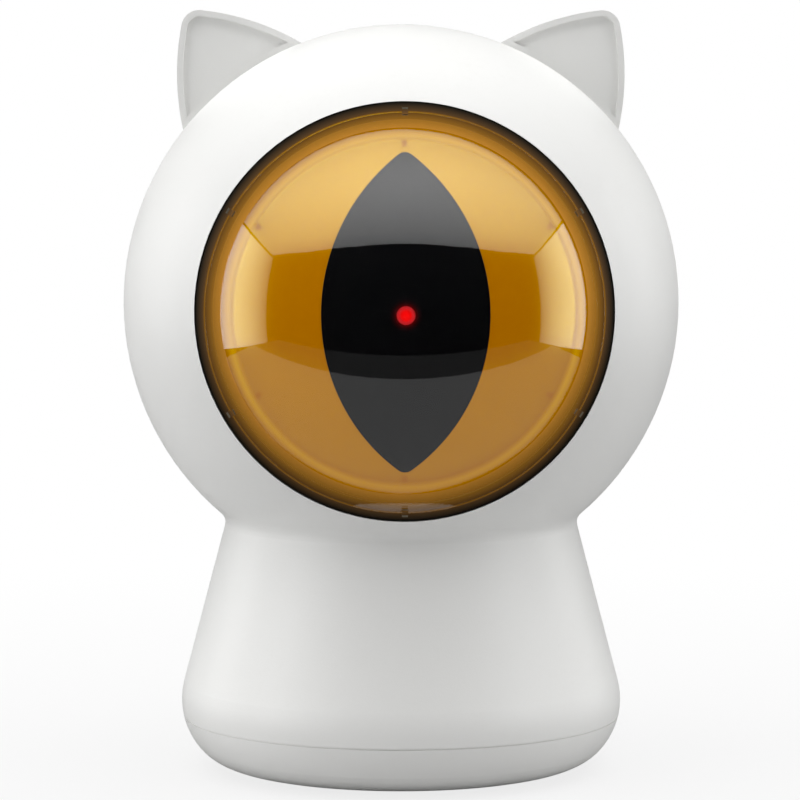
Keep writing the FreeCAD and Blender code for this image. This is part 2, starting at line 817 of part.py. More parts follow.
def make_ear(label, side):
    """One ear: a bowed leaf with a domed back, seated on the ball, with a tongue."""
    depth = D.ear_depth.value
    curve = D.ear_back_curve.value
    back_rise = (D.head_radius - D.ear_back_drop).value
    prism = ear_face(D.ear_rim * 0, D.ear_root).extrude(V(0, depth * 2, 0))
    dome = Part.makeSphere(curve, V(0, depth - curve, back_rise))
    leaf = prism.common(dome)
    back_edges = [edge for edge in leaf.Edges if edge.BoundBox.YMin > NEAR
                  and edge.BoundBox.ZMax > D.head_radius.value - 1]
    leaf = leaf.makeFillet(D.ear_back_round.value, back_edges)
    recess = ear_face(D.ear_rim, D.ear_recess_root).extrude(V(0, D.ear_recess.value, 0))
    ball = Part.makeSphere(D.head_radius.value, V(0, -D.ear_front.value, 0))
    rim_ball = Part.makeSphere(
        D.head_radius.value + D.ear_rim.value, V(0, -D.ear_front.value, 0)
    )
    leaf = leaf.cut(recess.cut(rim_ball)).cut(ball)
    tongue = Part.makeBox(
        D.ear_tongue_width.value,
        D.ear_tongue_thickness.value,
        (D.ear_tongue_reach + D.ear_tongue_sink).value,
        V(
            -D.ear_tongue_width.value / 2,
            (depth - D.ear_tongue_thickness.value) / 2,
            D.head_radius.value - D.ear_tongue_reach.value,
        ),
    )
    ear = doc.addObject("Part::Feature", label)
    ear.Label = label
    ear.Shape = leaf.fuse(tongue).removeSplitter()
    ear.Placement = FreeCAD.Placement(V(0, D.ear_front.value, 0), ear_turn(side))
    bind(ear, "Placement.Base.z", D.head_height)
    return ear


# ---------------------------------------------------------------- base

def make_base_plate():
    body = new_body("base_plate")
    collar_outer = inner_line["seam_x"] - D.fit_gap
    collar_inner = collar_outer - D.collar_thickness
    turn_x = curve_centre + D.base_side_curve * cosine(D.base_turn_angle)
    turn_z = D.base_widest_height - D.base_side_curve * sine(D.base_turn_angle)
    floor_top = D.foot_stand + D.floor_thickness
    groove_height = D.seam_height - D.seam_groove
    groove_floor = outer_line["seam_x"] - D.seam_groove
    seam_edge = place(
        "seam_edge",
        curve_centre + circle_reach(D.base_side_curve, D.base_widest_height - groove_height),
    )
    profile = [
        (0, D.foot_stand),
        (bottom_centre, D.foot_stand, -bottom_curve),
        (turn_x, turn_z, -D.base_side_curve),
        (seam_edge, groove_height),
        (groove_floor, groove_height),
        (groove_floor, D.seam_height),
        (collar_outer, D.seam_height),
        (collar_outer, D.seam_height + D.collar_height),
        (collar_inner, D.seam_height + D.collar_height),
        (collar_inner, D.seam_height - D.wall, D.base_side_curve - D.wall),
        (bottom_centre + D.wall / 2, floor_top),
        (0, floor_top),
    ]
    turn_about_axis(body, sketch_of(body, "XZ_Plane", outlines=[profile]))
    screws = four_places(D.base_screw_across, D.base_screw_back)
    posts = [(x, y, D.column_radius) for x, y in screws]
    post_foot = D.foot_stand + D.base_post_sink
    post_sketch = sketch_of(body, "XY_Plane", post_foot, circles=posts)
    pad(body, post_sketch, D.column_foot - D.glue_gap - post_foot)
    wells = [(x, y, D.screw_head_radius + D.fit_gap) for x, y in screws]
    pocket(body, sketch_of(body, "XY_Plane", D.foot_stand + D.base_well_depth, circles=wells))
    holes = [(x, y, D.screw_radius + D.fit_gap) for x, y in screws]
    pocket(body, sketch_of(body, "XY_Plane", D.column_foot, circles=holes))
    feet = [(x, y, D.foot_radius + D.glue_gap) for x, y in
            four_places(D.foot_across, D.foot_across)]
    pocket(body, sketch_of(body, "XY_Plane", D.foot_height, circles=feet))
    inner_half = (D.battery_length / 2 + D.battery_fit, D.battery_width / 2 + D.battery_fit)
    outer_half = tuple(half + D.fence_wall for half in inner_half)
    fence = [
        box_corners(-half[0], half[0], -half[1], half[1]) for half in (outer_half, inner_half)
    ]
    fence_sketch = sketch_of(body, "XY_Plane", floor_top - D.fence_sink, outlines=fence)
    pad(body, fence_sketch, D.fence_height + D.fence_sink)
    return body


def make_rubber_feet():
    body = new_body("rubber_feet")
    circles = [(x, y, D.foot_radius) for x, y in four_places(D.foot_across, D.foot_across)]
    pad(body, sketch_of(body, "XY_Plane", circles=circles), D.foot_height)
    return body


def make_battery_pack():
    body = new_body("battery_pack", height=D.foot_stand + D.floor_thickness + D.glue_gap)
    half_length, half_width = D.battery_length / 2, D.battery_width / 2
    outline = box_corners(-half_length, half_length, -half_width, half_width)
    pad(body, sketch_of(body, "XY_Plane", outlines=[outline]), D.battery_thickness)

    def runs_along(edge):
        box = edge.BoundBox
        return box.ZLength < NEAR and box.XLength > D.battery_round.value

    round_edges(body, D.battery_round, runs_along)
    return body


# ---------------------------------------------------------------- eye

def in_eye_frame(label):
    return new_body(label, height=D.head_height, turn=FRONT)


def depth_at(ball, radius):
    """How far in front of the head's centre a ball's surface is at a radius from its axis."""
    return circle_reach(ball, radius)


def make_lens_bezel():
    body = in_eye_frame("lens_bezel")
    shell_ball = shell_inner - D.fit_gap
    inner_ball = shell_ball - D.bezel_wall
    flange_radius = bezel_outer + D.bezel_flange
    seat_inner = bezel_inner - D.bezel_seat
    rim = depth_at(D.head_radius, bezel_inner)
    profile = [
        (seat_inner, depth_at(inner_ball, seat_inner), inner_ball),
        (flange_radius, depth_at(inner_ball, flange_radius)),
        (flange_radius, depth_at(shell_ball, flange_radius), -shell_ball),
        (bezel_outer, depth_at(shell_ball, bezel_outer)),
        (bezel_outer, depth_at(D.head_radius, bezel_outer) - D.bezel_lip_drop),
        (bezel_inner, rim - D.bezel_edge_drop),
        (bezel_inner, depth_at(seat_radius, bezel_inner), -seat_radius),
        (seat_inner, depth_at(seat_radius, seat_inner)),
    ]
    turn_about_axis(body, sketch_of(body, "XZ_Plane", outlines=[profile]))
    hook_inner = bezel_inner - D.catch_reach
    hook_top = depth_at(D.head_radius, hook_inner) + D.catch_rise
    hook = [
        (bezel_inner + D.glue_gap, rim - D.catch_root),
        (bezel_inner + D.bezel_width / 2, rim - D.catch_root),
        (bezel_inner + D.bezel_width / 2, rim + D.glue_gap),
        (hook_inner, hook_top),
        (hook_inner, hook_top - D.catch_thickness),
        (bezel_inner + D.glue_gap, rim + D.glue_gap),
    ]
    hook_sketch = sketch_of(body, "YZ_Plane", outlines=[hook])
    catch = new_feature(body, "Revolution", hook_sketch)
    catch.ReferenceAxis = (hook_sketch, ["V_Axis"])
    bind(catch, "Angle", D.catch_width_angle)
    catch.Midplane = True
    doc.recompute()
    ring = body.newObject("PartDesign::PolarPattern", "lens_bezel_catches")
    ring.Originals = [catch]
    ring.Axis = (origin_part(body, "Z_Axis"), [""])
    ring.Angle = 360.0
    bind(ring, "Occurrences", D.catch_count)
    body.Tip = ring
    body.setExpression("Placement.Rotation.Angle", None)
    doc.recompute()
    return body


def make_dome_lens():
    body = in_eye_frame("dome_lens")
    edge = bezel_inner - D.glue_gap
    profile = [
        (0, D.head_radius, D.head_radius),
        (edge, depth_at(D.head_radius, edge)),
        (edge, depth_at(dome_inner, edge), -dome_inner),
        (0, dome_inner),
    ]
    turn_about_axis(body, sketch_of(body, "XZ_Plane", outlines=[profile]))
    return body


def pupil_corners(name, grow):
    """The pointed oval: two long arcs, joined by a short one round each tip."""
    half_width = D.pupil_half_width + grow
    tip = D.pupil_tip_radius + grow
    rise = D.pupil_half_height - D.pupil_tip_radius
    squares = half_width * half_width + rise * rise - tip * tip
    side = place(f"{name}_side_radius", squares / ((half_width - tip) * 2))
    touch_x = place(f"{name}_touch_x", (side - half_width) * tip / (side - tip))
    touch_y = place(f"{name}_touch_y", side * rise / (side - tip))
    return [
        (touch_x, -touch_y, -side),
        (touch_x, touch_y, -tip),
        (-touch_x, touch_y, -side),
        (-touch_x, -touch_y, -tip),
    ]


def make_iris_cap():
    """The thin gilded cap with the pupil's opening, made by cutting its plan out of a ball skin."""
    body = in_eye_frame("iris_cap")
    profile = [
        (0, eye_radius, eye_radius),
        (iris_radius, depth_at(eye_radius, iris_radius)),
        (iris_radius, depth_at(iris_inner, iris_radius), -iris_inner),
        (0, iris_inner),
    ]
    turn_about_axis(body, sketch_of(body, "XZ_Plane", outlines=[profile]))
    opening = pupil_corners("opening", D.pupil_gap)
    pocket(body, sketch_of(body, "XY_Plane", outlines=[opening]), along=True)
    return body


def make_pupil_insert():
    """The glossy black insert: what the pointed oval's prism and the ball's skin have in common."""
    ball = doc.addObject("Part::Sphere", "pupil_ball")
    bind(ball, "Radius", eye_radius)
    hollow = doc.addObject("Part::Sphere", "pupil_hollow")
    bind(hollow, "Radius", iris_inner)
    outline = doc.addObject("Sketcher::SketchObject", "pupil_outline")
    add_outline(outline, pupil_corners("pupil", D.glue_gap * 0))
    prism = doc.addObject("Part::Extrusion", "pupil_prism")
    prism.Base = outline
    prism.DirMode = "Normal"
    prism.Solid = True
    bind(prism, "LengthFwd", D.head_radius)
    bore = doc.addObject("Part::Cylinder", "pupil_bore")
    bind(bore, "Radius", D.aperture_radius + D.running_gap)
    bind(bore, "Height", D.head_radius)
    skin = doc.addObject("Part::Cut", "pupil_skin")
    skin.Base, skin.Tool = ball, hollow
    leaf = doc.addObject("Part::Common", "pupil_leaf")
    leaf.Base, leaf.Tool = skin, prism
    insert = doc.addObject("Part::Cut", "pupil_insert")
    insert.Base, insert.Tool = leaf, bore
    insert.Label = "pupil_insert"
    insert.Placement = FreeCAD.Placement(V(0, 0, 0), FRONT)
    bind(insert, "Placement.Base.z", D.head_height)
    doc.recompute()
    return insert


def make_eye_cup():
    body = in_eye_frame("eye_cup")
    hole = D.barrel_radius + D.fit_gap
    rim_in = (cup_inner * sine(D.cup_reach), cup_inner * cosine(D.cup_reach))
    rim_out = (iris_inner * sine(D.cup_reach), iris_inner * cosine(D.cup_reach))
    profile = [
        (hole, depth_at(iris_inner, hole), iris_inner),
        rim_out,
        (*rim_in, -cup_inner),
        (hole, depth_at(cup_inner, hole)),
    ]
    turn_about_axis(body, sketch_of(body, "XZ_Plane", outlines=[profile]))
    places = four_places(D.post_across, D.post_up)
    for pair in (places[:2], places[2:]):
        posts = [(x, y, D.post_radius) for x, y in pair]
        post_sketch = sketch_of(body, "XY_Plane", carrier_plate_front, circles=posts)
        pad(body, post_sketch, up_to_wall=True)
    holes = [(x, y, D.screw_radius - D.running_gap) for x, y in places]
    pocket(body, sketch_of(body, "XY_Plane", carrier_plate_front, circles=holes),
           D.post_radius * 2, along=True)
    return body


def make_laser_module():
    body = in_eye_frame("laser_module")
    front = depth_at(iris_inner, D.barrel_radius) - D.glue_gap
    back = front - D.barrel_length
    profile = [
        (0, back),
        (D.barrel_radius, back),
        (D.barrel_radius, front - D.barrel_chamfer),
        (D.barrel_radius - D.barrel_chamfer, front),
        (D.aperture_radius + D.running_gap, front),
        (D.aperture_radius + D.running_gap, front - D.aperture_depth),
        (0, front - D.aperture_depth),
    ]
    turn_about_axis(body, sketch_of(body, "XZ_Plane", outlines=[profile]))
    return body


def make_laser_lens():
    body = in_eye_frame("laser_lens")
    floor = depth_at(iris_inner, D.barrel_radius) - D.glue_gap - D.aperture_depth
    low = floor + D.running_gap
    rim = depth_at(eye_radius, D.aperture_radius)
    profile = [
        (0, low),
        (D.aperture_radius, low),
        (D.aperture_radius, rim, -eye_radius),
        (0, eye_radius),
    ]
    turn_about_axis(body, sketch_of(body, "XZ_Plane", outlines=[profile]))
    return body


# ---------------------------------------------------------------- gimbal

def make_eye_carrier():
    body = new_body("eye_carrier", height=D.head_height)
    outer, inner = carrier_half_width, carrier_inner
    front, plate = -carrier_plate_front, -carrier_plate_front + D.carrier_thickness
    bow = [
        (-outer, front), (outer, front), (outer, D.carrier_tail), (inner, D.carrier_tail),
        (inner, plate), (-inner, plate), (-inner, D.carrier_tail), (-outer, D.carrier_tail),
    ]
    pad(body, sketch_of(body, "XY_Plane", outlines=[bow]), D.carrier_arm_height, both=True)
    half_plate = D.post_across + D.post_radius * 2
    face = box_corners(-half_plate, half_plate, -D.carrier_plate_height / 2,
                       D.carrier_plate_height / 2)
    pad(body, sketch_of(body, "XZ_Plane", carrier_plate_front, outlines=[face]),
        D.carrier_thickness, along=False)
    clamp = [(0, 0, D.clamp_radius)]
    pad(body, sketch_of(body, "XZ_Plane", carrier_plate_front, circles=clamp),
        D.clamp_length, along=False)
    bore = [(0, 0, D.barrel_radius + D.running_gap)]
    pocket(body, sketch_of(body, "XZ_Plane", circles=bore), along=True)
    pivot = [(0, 0, bush_radius)]
    pocket(body, sketch_of(body, "YZ_Plane", circles=pivot), both=True)
    holes = [(x, z, D.screw_radius + D.fit_gap) for x, z in
             four_places(D.post_across, D.post_up)]
    pocket(body, sketch_of(body, "XZ_Plane", circles=holes), along=True)
    return body


def make_gimbal_ring():
    body = new_body("gimbal_ring", height=D.head_height)
    circles = [(0, 0, ring_outer), (0, 0, ring_inner_radius)]
    pad(body, sketch_of(body, "XZ_Plane", circles=circles), D.ring_depth, both=True)
    near = D.tilt_motor_back - D.motor_half_width - D.motor_fit
    far = D.tilt_motor_back + D.motor_half_width + D.motor_fit
    bed = -tilt_motor_drop - D.motor_half_depth - D.motor_fit
    cheek = -tilt_motor_drop + D.cradle_wall
    low = -ring_inner_radius - D.cradle_sink
    cradle = [
        (near - D.cradle_wall, low), (far + D.cradle_wall, low), (far + D.cradle_wall, cheek),
        (far, cheek), (far, bed), (near, bed), (near, cheek), (near - D.cradle_wall, cheek),
    ]
    pad(body, sketch_of(body, "YZ_Plane", outlines=[cradle]), D.motor_length, both=True)
    for plane in ("XY_Plane", "YZ_Plane"):
        pivot = [(0, 0, D.pin_radius + D.press)]
        pocket(body, sketch_of(body, plane, circles=pivot), both=True)
    return body


def pin_pair(label, plane, first, last):
    """Two pins in line, mirrored about the middle of the gimbal."""
    body = new_body(label, height=D.head_height)
    pin = sketch_of(body, plane, first, circles=[(0, 0, D.pin_radius)])
    near = pad(body, pin, last - first)
    mirrored(body, near, plane)
    return body


def bush_pair(label, plane, first, last, flange_first, flange_last):
    """Two flanged bushes in line, mirrored about the middle of the gimbal."""
    body = new_body(label, height=D.head_height)
    bore = D.pin_radius + D.running_gap
    tube = [(0, 0, bush_radius - D.press), (0, 0, bore)]
    flange = [(0, 0, bush_radius + D.flange_width), (0, 0, bore)]
    sleeve = pad(body, sketch_of(body, plane, first, circles=tube), last - first)
    collar = pad(body, sketch_of(body, plane, flange_first, circles=flange),
                 flange_last - flange_first)
    copy = body.newObject("PartDesign::Mirrored", f"{label}_far_side")
    copy.Originals = [sleeve, collar]
    copy.MirrorPlane = (origin_part(body, plane), [""])
    body.Tip = copy
    doc.recompute()
    return body


def make_chassis():
    body = new_body("gimbal_chassis", height=D.head_height)
    plate = box_corners(-D.chassis_half_width, D.chassis_half_width, -chassis_half_height,
                        chassis_half_height)
    pad(body, sketch_of(body, "XZ_Plane", -chassis_seat, outlines=[plate]), D.chassis_plate)
    nose = -bush_radius - D.flange_width - D.bush_rim
    arms = [box_corners(nose, chassis_seat, arm_inner, arm_outer),
            box_corners(nose, chassis_seat, -arm_outer, -arm_inner)]
    pad(body, sketch_of(body, "YZ_Plane", outlines=arms), D.chassis_arm_width, both=True)
    half = D.motor_half_width + D.motor_fit
    bed = gear_distance + D.motor_half_depth + D.motor_fit
    cheek = gear_distance - D.motor_half_depth / 2
    root_line = chassis_back + D.cradle_sink
    cradle = [
        (-half - D.cradle_wall, cheek), (-half, cheek), (-half, bed), (half, bed), (half, cheek),
        (half + D.cradle_wall, cheek), (half + D.cradle_wall, root_line),
        (-half - D.cradle_wall, root_line),
    ]
    foot = pan_gear_height - D.motor_to_gear - D.motor_length + D.cradle_first
    pad(body, sketch_of(body, "XY_Plane", foot, outlines=[cradle]),
        D.motor_length - D.cradle_first - D.cradle_last)
    pocket(body, sketch_of(body, "XY_Plane", circles=[(0, 0, bush_radius)]), both=True)
    holes = [(x, z, D.screw_radius + D.fit_gap) for x, z in
             four_places(D.chassis_screw_across, chassis_screw_up)]
    pocket(body, sketch_of(body, "XZ_Plane", circles=holes))
    return body


def tooth_flank(teeth, play):
    """Half of a tooth: its radii and the angle from the tooth's middle at each of them."""
    pitch = D.tooth_module.value * teeth / 2
    base = pitch * math.cos(math.radians(20))
    tip = pitch + D.tooth_module.value
    root_radius = pitch - 1.25 * D.tooth_module.value
    half = math.pi / (2 * teeth) - play / (2 * pitch)

    def involute(radius):
        angle = math.acos(min(base / radius, 1.0))
        return math.tan(angle) - angle

    start = max(base, root_radius)
    steps = 4
    radii = [start + (tip - start) * step / steps for step in range(steps + 1)]
    angles = [half + involute(pitch) - involute(radius) for radius in radii]
    return root_radius, list(zip(radii, angles))


def gear_blank(teeth, first_tooth):
    """A spur gear's full toothed outline as a prism, with one tooth centred on an angle."""
    root_radius, flank = tooth_flank(teeth, D.tooth_play.value)
    pitch_angle = 2 * math.pi / teeth
    edges = []

    def at(radius, angle):
        return V(radius * math.cos(angle), radius * math.sin(angle), 0)

    for tooth in range(teeth):
        middle = math.radians(first_tooth) + tooth * pitch_angle
        rising = [at(radius, middle - angle) for radius, angle in flank]
        falling = [at(radius, middle + angle) for radius, angle in reversed(flank)]
        foot_angle = flank[0][1]
        left = Part.BSplineCurve()
        left.interpolate(rising)
        right = Part.BSplineCurve()
        right.interpolate(falling)
        if flank[0][0] > root_radius + 0.001:
            edges.append(Part.makeLine(at(root_radius, middle - foot_angle), rising[0]))
        edges.append(left.toShape())
        edges.append(Part.Arc(rising[-1], at(flank[-1][0], middle), falling[0]).toShape())
        edges.append(right.toShape())
        if flank[0][0] > root_radius + 0.001:
            edges.append(Part.makeLine(falling[-1], at(root_radius, middle + foot_angle)))
        gap_start = at(min(flank[0][0], root_radius), middle + foot_angle)
        gap_end = at(min(flank[0][0], root_radius), middle + pitch_angle - foot_angle)
        if flank[0][0] <= root_radius + 0.001:
            gap_start, gap_end = falling[-1], at(flank[0][0], middle + pitch_angle - foot_angle)
        gap_middle = at(root_radius, middle + pitch_angle / 2)
        edges.append(Part.Arc(gap_start, gap_middle, gap_end).toShape())
    return Part.Face(Part.Wire(edges)).extrude(V(0, 0, D.gear_width.value))


def sector_shape(towards, half_angle, hub_length, bore):
    """A gear segment that reaches half_angle to each side of a direction, with a hub."""
    teeth = round(D.sector_teeth.value)
    blank = gear_blank(teeth, towards)
    reach = D.tooth_module.value * teeth
    points = [V(0, 0, 0)]
    for turn in (-half_angle, 0, half_angle):
        angle = math.radians(towards + turn)
        points.append(V(math.cos(angle), math.sin(angle), 0) * reach)
    wedge = Part.Face(Part.makePolygon(points + points[:1])).extrude(V(0, 0, reach))
    hub = Part.makeCylinder(D.sector_hub_radius.value, hub_length)
    hole = Part.makeCylinder(bore, hub_length)
    return blank.common(wedge).fuse(hub).cut(hole).removeSplitter()


def gear_object(label, shape, turn, spot):
    """Places a gear about its own axis; each coordinate of the spot may be a size."""
    gear = doc.addObject("Part::Feature", label)
    gear.Label = label
    gear.Shape = shape
    gear.Placement = FreeCAD.Placement(V(0, 0, 0), turn)
    for axis, size in zip("xyz", spot):
        if isinstance(size, Size):
            bind(gear, f"Placement.Base.{axis}", size)
    return gear


def tilt_direction():
    return math.degrees(math.atan2(-tilt_motor_drop.value, D.tilt_motor_back.value))


def make_sectors():
    hub_top = depth_at(ring_inner_radius, D.sector_hub_radius) - D.running_gap
    pan_shape = sector_shape(
        90.0, D.pan_sector_half_angle.value, (hub_top - pan_gear_height).value,
        D.hub_bore.value,
    )
    pan = gear_object("pan_gear", pan_shape, FreeCAD.Rotation(),
                      (0, 0, D.head_height + pan_gear_height))
    arm = carrier_inner - D.running_gap
    towards = tilt_direction()
    tilt_shape = sector_shape(
        towards, D.tilt_sector_half_angle.value, (arm - tilt_gear_side).value,
        (D.pin_radius + D.pivot_play).value,
    )
    tilt = gear_object("tilt_gear", tilt_shape, SIDE, (tilt_gear_side, 0, D.head_height))
    return [pan, tilt]


def pinion_shape(sector_direction):
    """A pinion whose tooth gap faces the sector."""
    teeth = round(D.pinion_teeth.value)
    first_tooth = sector_direction + 180.0 + 180.0 / teeth
    bore = Part.makeCylinder((D.shaft_radius + D.press).value, D.gear_width.value)
    return gear_blank(teeth, first_tooth).cut(bore)


def make_pinions():
    pan = gear_object("pan_pinion", pinion_shape(90.0), FreeCAD.Rotation(),
                      (0, gear_distance, D.head_height + pan_gear_height))
    tilt = gear_object("tilt_pinion", pinion_shape(tilt_direction()), SIDE,
                       (tilt_gear_side, D.tilt_motor_back, D.head_height - tilt_motor_drop))
    return [pan, tilt]


def motor_frame(label, which):
    """The frame at the middle of a motor's output face, local Z along its shaft."""
    if which == "pan":
        return new_body(label, D.head_height + pan_gear_height - D.motor_to_gear,
                        back=gear_distance)
    return new_body(label, D.head_height - tilt_motor_drop, SIDE, D.tilt_motor_back,
                    tilt_gear_side - D.motor_to_gear)


def make_motor(which):
    """A small geared motor: a square gearbox, a flat sided can and a bored nose."""
    body = motor_frame(f"{which}_motor", which)
    half_width, half_depth = D.motor_half_width, D.motor_half_depth
    gearbox = box_corners(-half_width, half_width, -half_depth, half_depth)
    pad(body, sketch_of(body, "XY_Plane", outlines=[gearbox]), D.gearbox_length, along=False)
    flat = place(f"{which}_flat", circle_reach(half_width, half_depth))
    can = [
        (-flat, -half_depth), (flat, -half_depth, -half_width), (flat, half_depth),
        (-flat, half_depth, -half_width),
    ]
    pad(body, sketch_of(body, "XY_Plane", outlines=[can]), D.motor_length, along=False)
    nose = [(0, 0, D.nose_radius)]
    pad(body, sketch_of(body, "XY_Plane", circles=nose), D.motor_to_gear / 2)
    bore = [(0, 0, D.shaft_radius + D.running_gap)]
    bore_sketch = sketch_of(body, "XY_Plane", D.motor_to_gear, circles=bore)
    pocket(body, bore_sketch, D.shaft_sink + D.motor_to_gear + D.fit_gap)
    return body


def make_shaft(which):
    body = motor_frame(f"{which}_shaft", which)
    circle = [(0, 0, D.shaft_radius)]
    length = D.shaft_sink + D.motor_to_gear + D.gear_width + D.shaft_proud
    pad(body, sketch_of(body, "XY_Plane", -D.shaft_sink, circles=circle), length)
    return body


# ---------------------------------------------------------------- fasteners

def screw_group(label, plane, places, head_face, reach, height=None, along=True):
    """Identical pan head screws: heads that stand on a plane, shanks that run on from it."""
    body = new_body(label, height=height)
    heads = [(x, y, D.screw_head_radius) for x, y in places]
    shanks = [(x, y, D.screw_radius - D.running_gap * 2) for x, y in places]
    pad(body, sketch_of(body, plane, head_face, circles=heads), D.screw_head_height,
        along=not along)
    pad(body, sketch_of(body, plane, head_face, circles=shanks), reach, along=along)
    return body


def make_screws():
    case_places = [(side * x, z) for x, z in case_screws for side in (-1, 1)]
    case = screw_group("case_screws", "XZ_Plane", case_places, -D.well_floor,
                       D.well_floor + D.case_screw_reach)
    base = screw_group("base_screws", "XY_Plane",
                       four_places(D.base_screw_across, D.base_screw_back),
                       D.foot_stand + D.base_well_depth, D.base_screw_length)
    chassis = screw_group("chassis_screws", "XZ_Plane",
                          four_places(D.chassis_screw_across, chassis_screw_up),
                          -chassis_back, D.chassis_plate + D.plate_screw_bite,
                          D.head_height, along=False)
    plate_back = carrier_plate_front - D.carrier_thickness
    carrier = screw_group("carrier_screws", "XZ_Plane",
                          four_places(D.post_across, D.post_up), plate_back,
                          D.carrier_thickness + D.plate_screw_bite, D.head_height)
    return [case, base, chassis, carrier]


# ---------------------------------------------------------------- controls on the rear panel

def in_panel_frame(label):
    return new_body(label, D.panel_height, PANEL, panel_back)


def make_power_button():
    body = in_panel_frame("power_button")
    top = D.button_proud
    shoulder = top - D.button_height
    stem_end = -D.board_depth + D.switch_height + D.plunger_radius
    profile = [
        (0, top),
        (D.button_radius - D.button_round, top - D.button_crown),
        (D.button_radius, top - D.button_bevel),
        (D.button_radius, shoulder),
        (D.button_radius + D.button_flange, shoulder),
        (D.button_radius + D.button_flange, shoulder - D.button_flange),
        (D.stem_radius, shoulder - D.button_flange),
        (D.stem_radius, stem_end),
        (0, stem_end),
    ]
    turn_about_axis(body, sketch_of(body, "XZ_Plane", outlines=[profile]))
    return body


def make_main_board():
    body = in_panel_frame("main_board")
    outline = box_corners(-D.board_half_width, D.board_half_width, -D.board_above, D.board_below)
    top = -D.board_depth
    pad(body, sketch_of(body, "XY_Plane", top, outlines=[outline]), D.board_thickness,
        along=False)
    holes = [(x, y, D.screw_radius + D.fit_gap) for x, y in board_screw_places]
    pocket(body, sketch_of(body, "XY_Plane", top, circles=holes))
    chip = box_corners(-D.chip_width, D.chip_width * 0, D.chip_near, D.chip_far)
    pad(body, sketch_of(body, "XY_Plane", top - D.board_thickness, outlines=[chip]),
        D.board_thickness, along=False)
    return body


def make_board_screws():
    body = in_panel_frame("board_screws")
    back = -D.board_depth - D.board_thickness
    heads = [(x, y, D.screw_head_radius) for x, y in board_screw_places]
    shanks = [(x, y, D.screw_radius - D.running_gap * 2) for x, y in board_screw_places]
    pad(body, sketch_of(body, "XY_Plane", back, circles=heads), D.screw_head_height, along=False)
    pad(body, sketch_of(body, "XY_Plane", back, circles=shanks),
        D.board_thickness + D.plate_screw_bite)
    return body


def make_tact_switch():
    body = in_panel_frame("tact_switch")
    half = D.switch_half_width
    outline = box_corners(-half, half, -half, half)
    pad(body, sketch_of(body, "XY_Plane", -D.board_depth, outlines=[outline]), D.switch_height)
    bore = [(0, 0, D.plunger_radius + D.fit_gap * 2)]
    pocket(body, sketch_of(body, "XY_Plane", -D.board_depth + D.switch_height, circles=bore),
           D.switch_well)
    return body


def make_switch_plunger():
    """The switch's sprung key, which the button's stem rests on and pushes in."""
    body = in_panel_frame("switch_plunger")
    low = -D.board_depth + D.switch_height - D.button_travel - D.fit_gap * 2
    top = -D.board_depth + D.switch_height + D.plunger_radius
    pad(body, sketch_of(body, "XY_Plane", low, circles=[(0, 0, D.plunger_radius)]), top - low)
    return body


def make_usb_socket():
    """The upright charging socket: a flat oval metal tube with a tongue, on the board."""
    body = in_panel_frame("usb_socket")

    def oval(inset):
        half_height = D.inlet_half_height - inset
        flat = D.inlet_half_width - D.inlet_half_height
        low, high = D.inlet_below - half_height, D.inlet_below + half_height
        bend = -half_height * BLUNT
        return [(-flat, low), (flat, low, bend), (flat, high), (-flat, high, bend)]

    mouth = -D.inlet_recess
    length = D.board_depth - D.inlet_recess
    foot = -D.board_depth
    ring = sketch_of(body, "XY_Plane", foot, outlines=[oval(D.inlet_shell * 0),
                                                       oval(D.inlet_shell)])
    pad(body, ring, length)
    pad(body, sketch_of(body, "XY_Plane", foot, outlines=[oval(D.inlet_shell)]), length / 2)
    half_tongue = D.inlet_half_width - D.inlet_half_height
    tongue = box_corners(-half_tongue, half_tongue, D.inlet_below - D.inlet_tongue / 2,
                         D.inlet_below + D.inlet_tongue / 2)
    pad(body, sketch_of(body, "XY_Plane", foot, outlines=[tongue]), length + mouth)
    return body


# ---------------------------------------------------------------- assembly

def make_parts():
    pan_first = ring_inner_radius + D.pin_sink
    tilt_first = carrier_inner - D.pin_sink
    parts = [
        make_front_shell(),
        make_rear_shell(),
        make_ear("left_ear", -1),
        make_ear("right_ear", 1),
        make_base_plate(),
        make_rubber_feet(),
        make_lens_bezel(),
        make_dome_lens(),
        make_iris_cap(),
        make_pupil_insert(),
        make_eye_cup(),
        make_laser_module(),
        make_laser_lens(),
        make_eye_carrier(),
        make_gimbal_ring(),
        make_chassis(),
        pin_pair("pan_pins", "XY_Plane", pan_first, arm_outer + D.pin_proud),
        pin_pair("tilt_pins", "YZ_Plane", tilt_first, ring_outer + D.pin_proud),
        bush_pair("pan_bushes", "XY_Plane", arm_inner, arm_outer, arm_inner - D.pan_flange,
                  arm_inner),
        bush_pair("tilt_bushes", "YZ_Plane", carrier_inner, carrier_half_width,
                  carrier_half_width, carrier_half_width + D.tilt_flange),
        make_battery_pack(),
        make_power_button(),
        make_main_board(),
        make_board_screws(),
        make_tact_switch(),
        make_switch_plunger(),
        make_usb_socket(),
    ]
    parts += make_sectors() + make_pinions() + make_screws()
    for which in ("pan", "tilt"):
        parts += [make_motor(which), make_shaft(which)]
    return parts


def check(parts):
    doc.recompute()
    for item in doc.Objects:
        if "Invalid" in item.State or "Error" in item.State:
            raise RuntimeError(f"{item.Name} failed: {item.State}")
    for part in parts:
        if part.Shape.isNull() or not part.Shape.isValid() or part.Shape.Volume <= 0:
            raise RuntimeError(f"{part.Label} has no valid shape")


def write(parts):
    os.makedirs("parts", exist_ok=True)
    for part in parts:
        part.Shape.exportStep(f"parts/{part.Label}.step")
        solids = len(part.Shape.Solids)
        print(f"{part.Label}: {solids} solid(s), {part.Shape.Volume / 1000:.2f} cm3")


all_parts = make_parts()
check(all_parts)
write(all_parts)
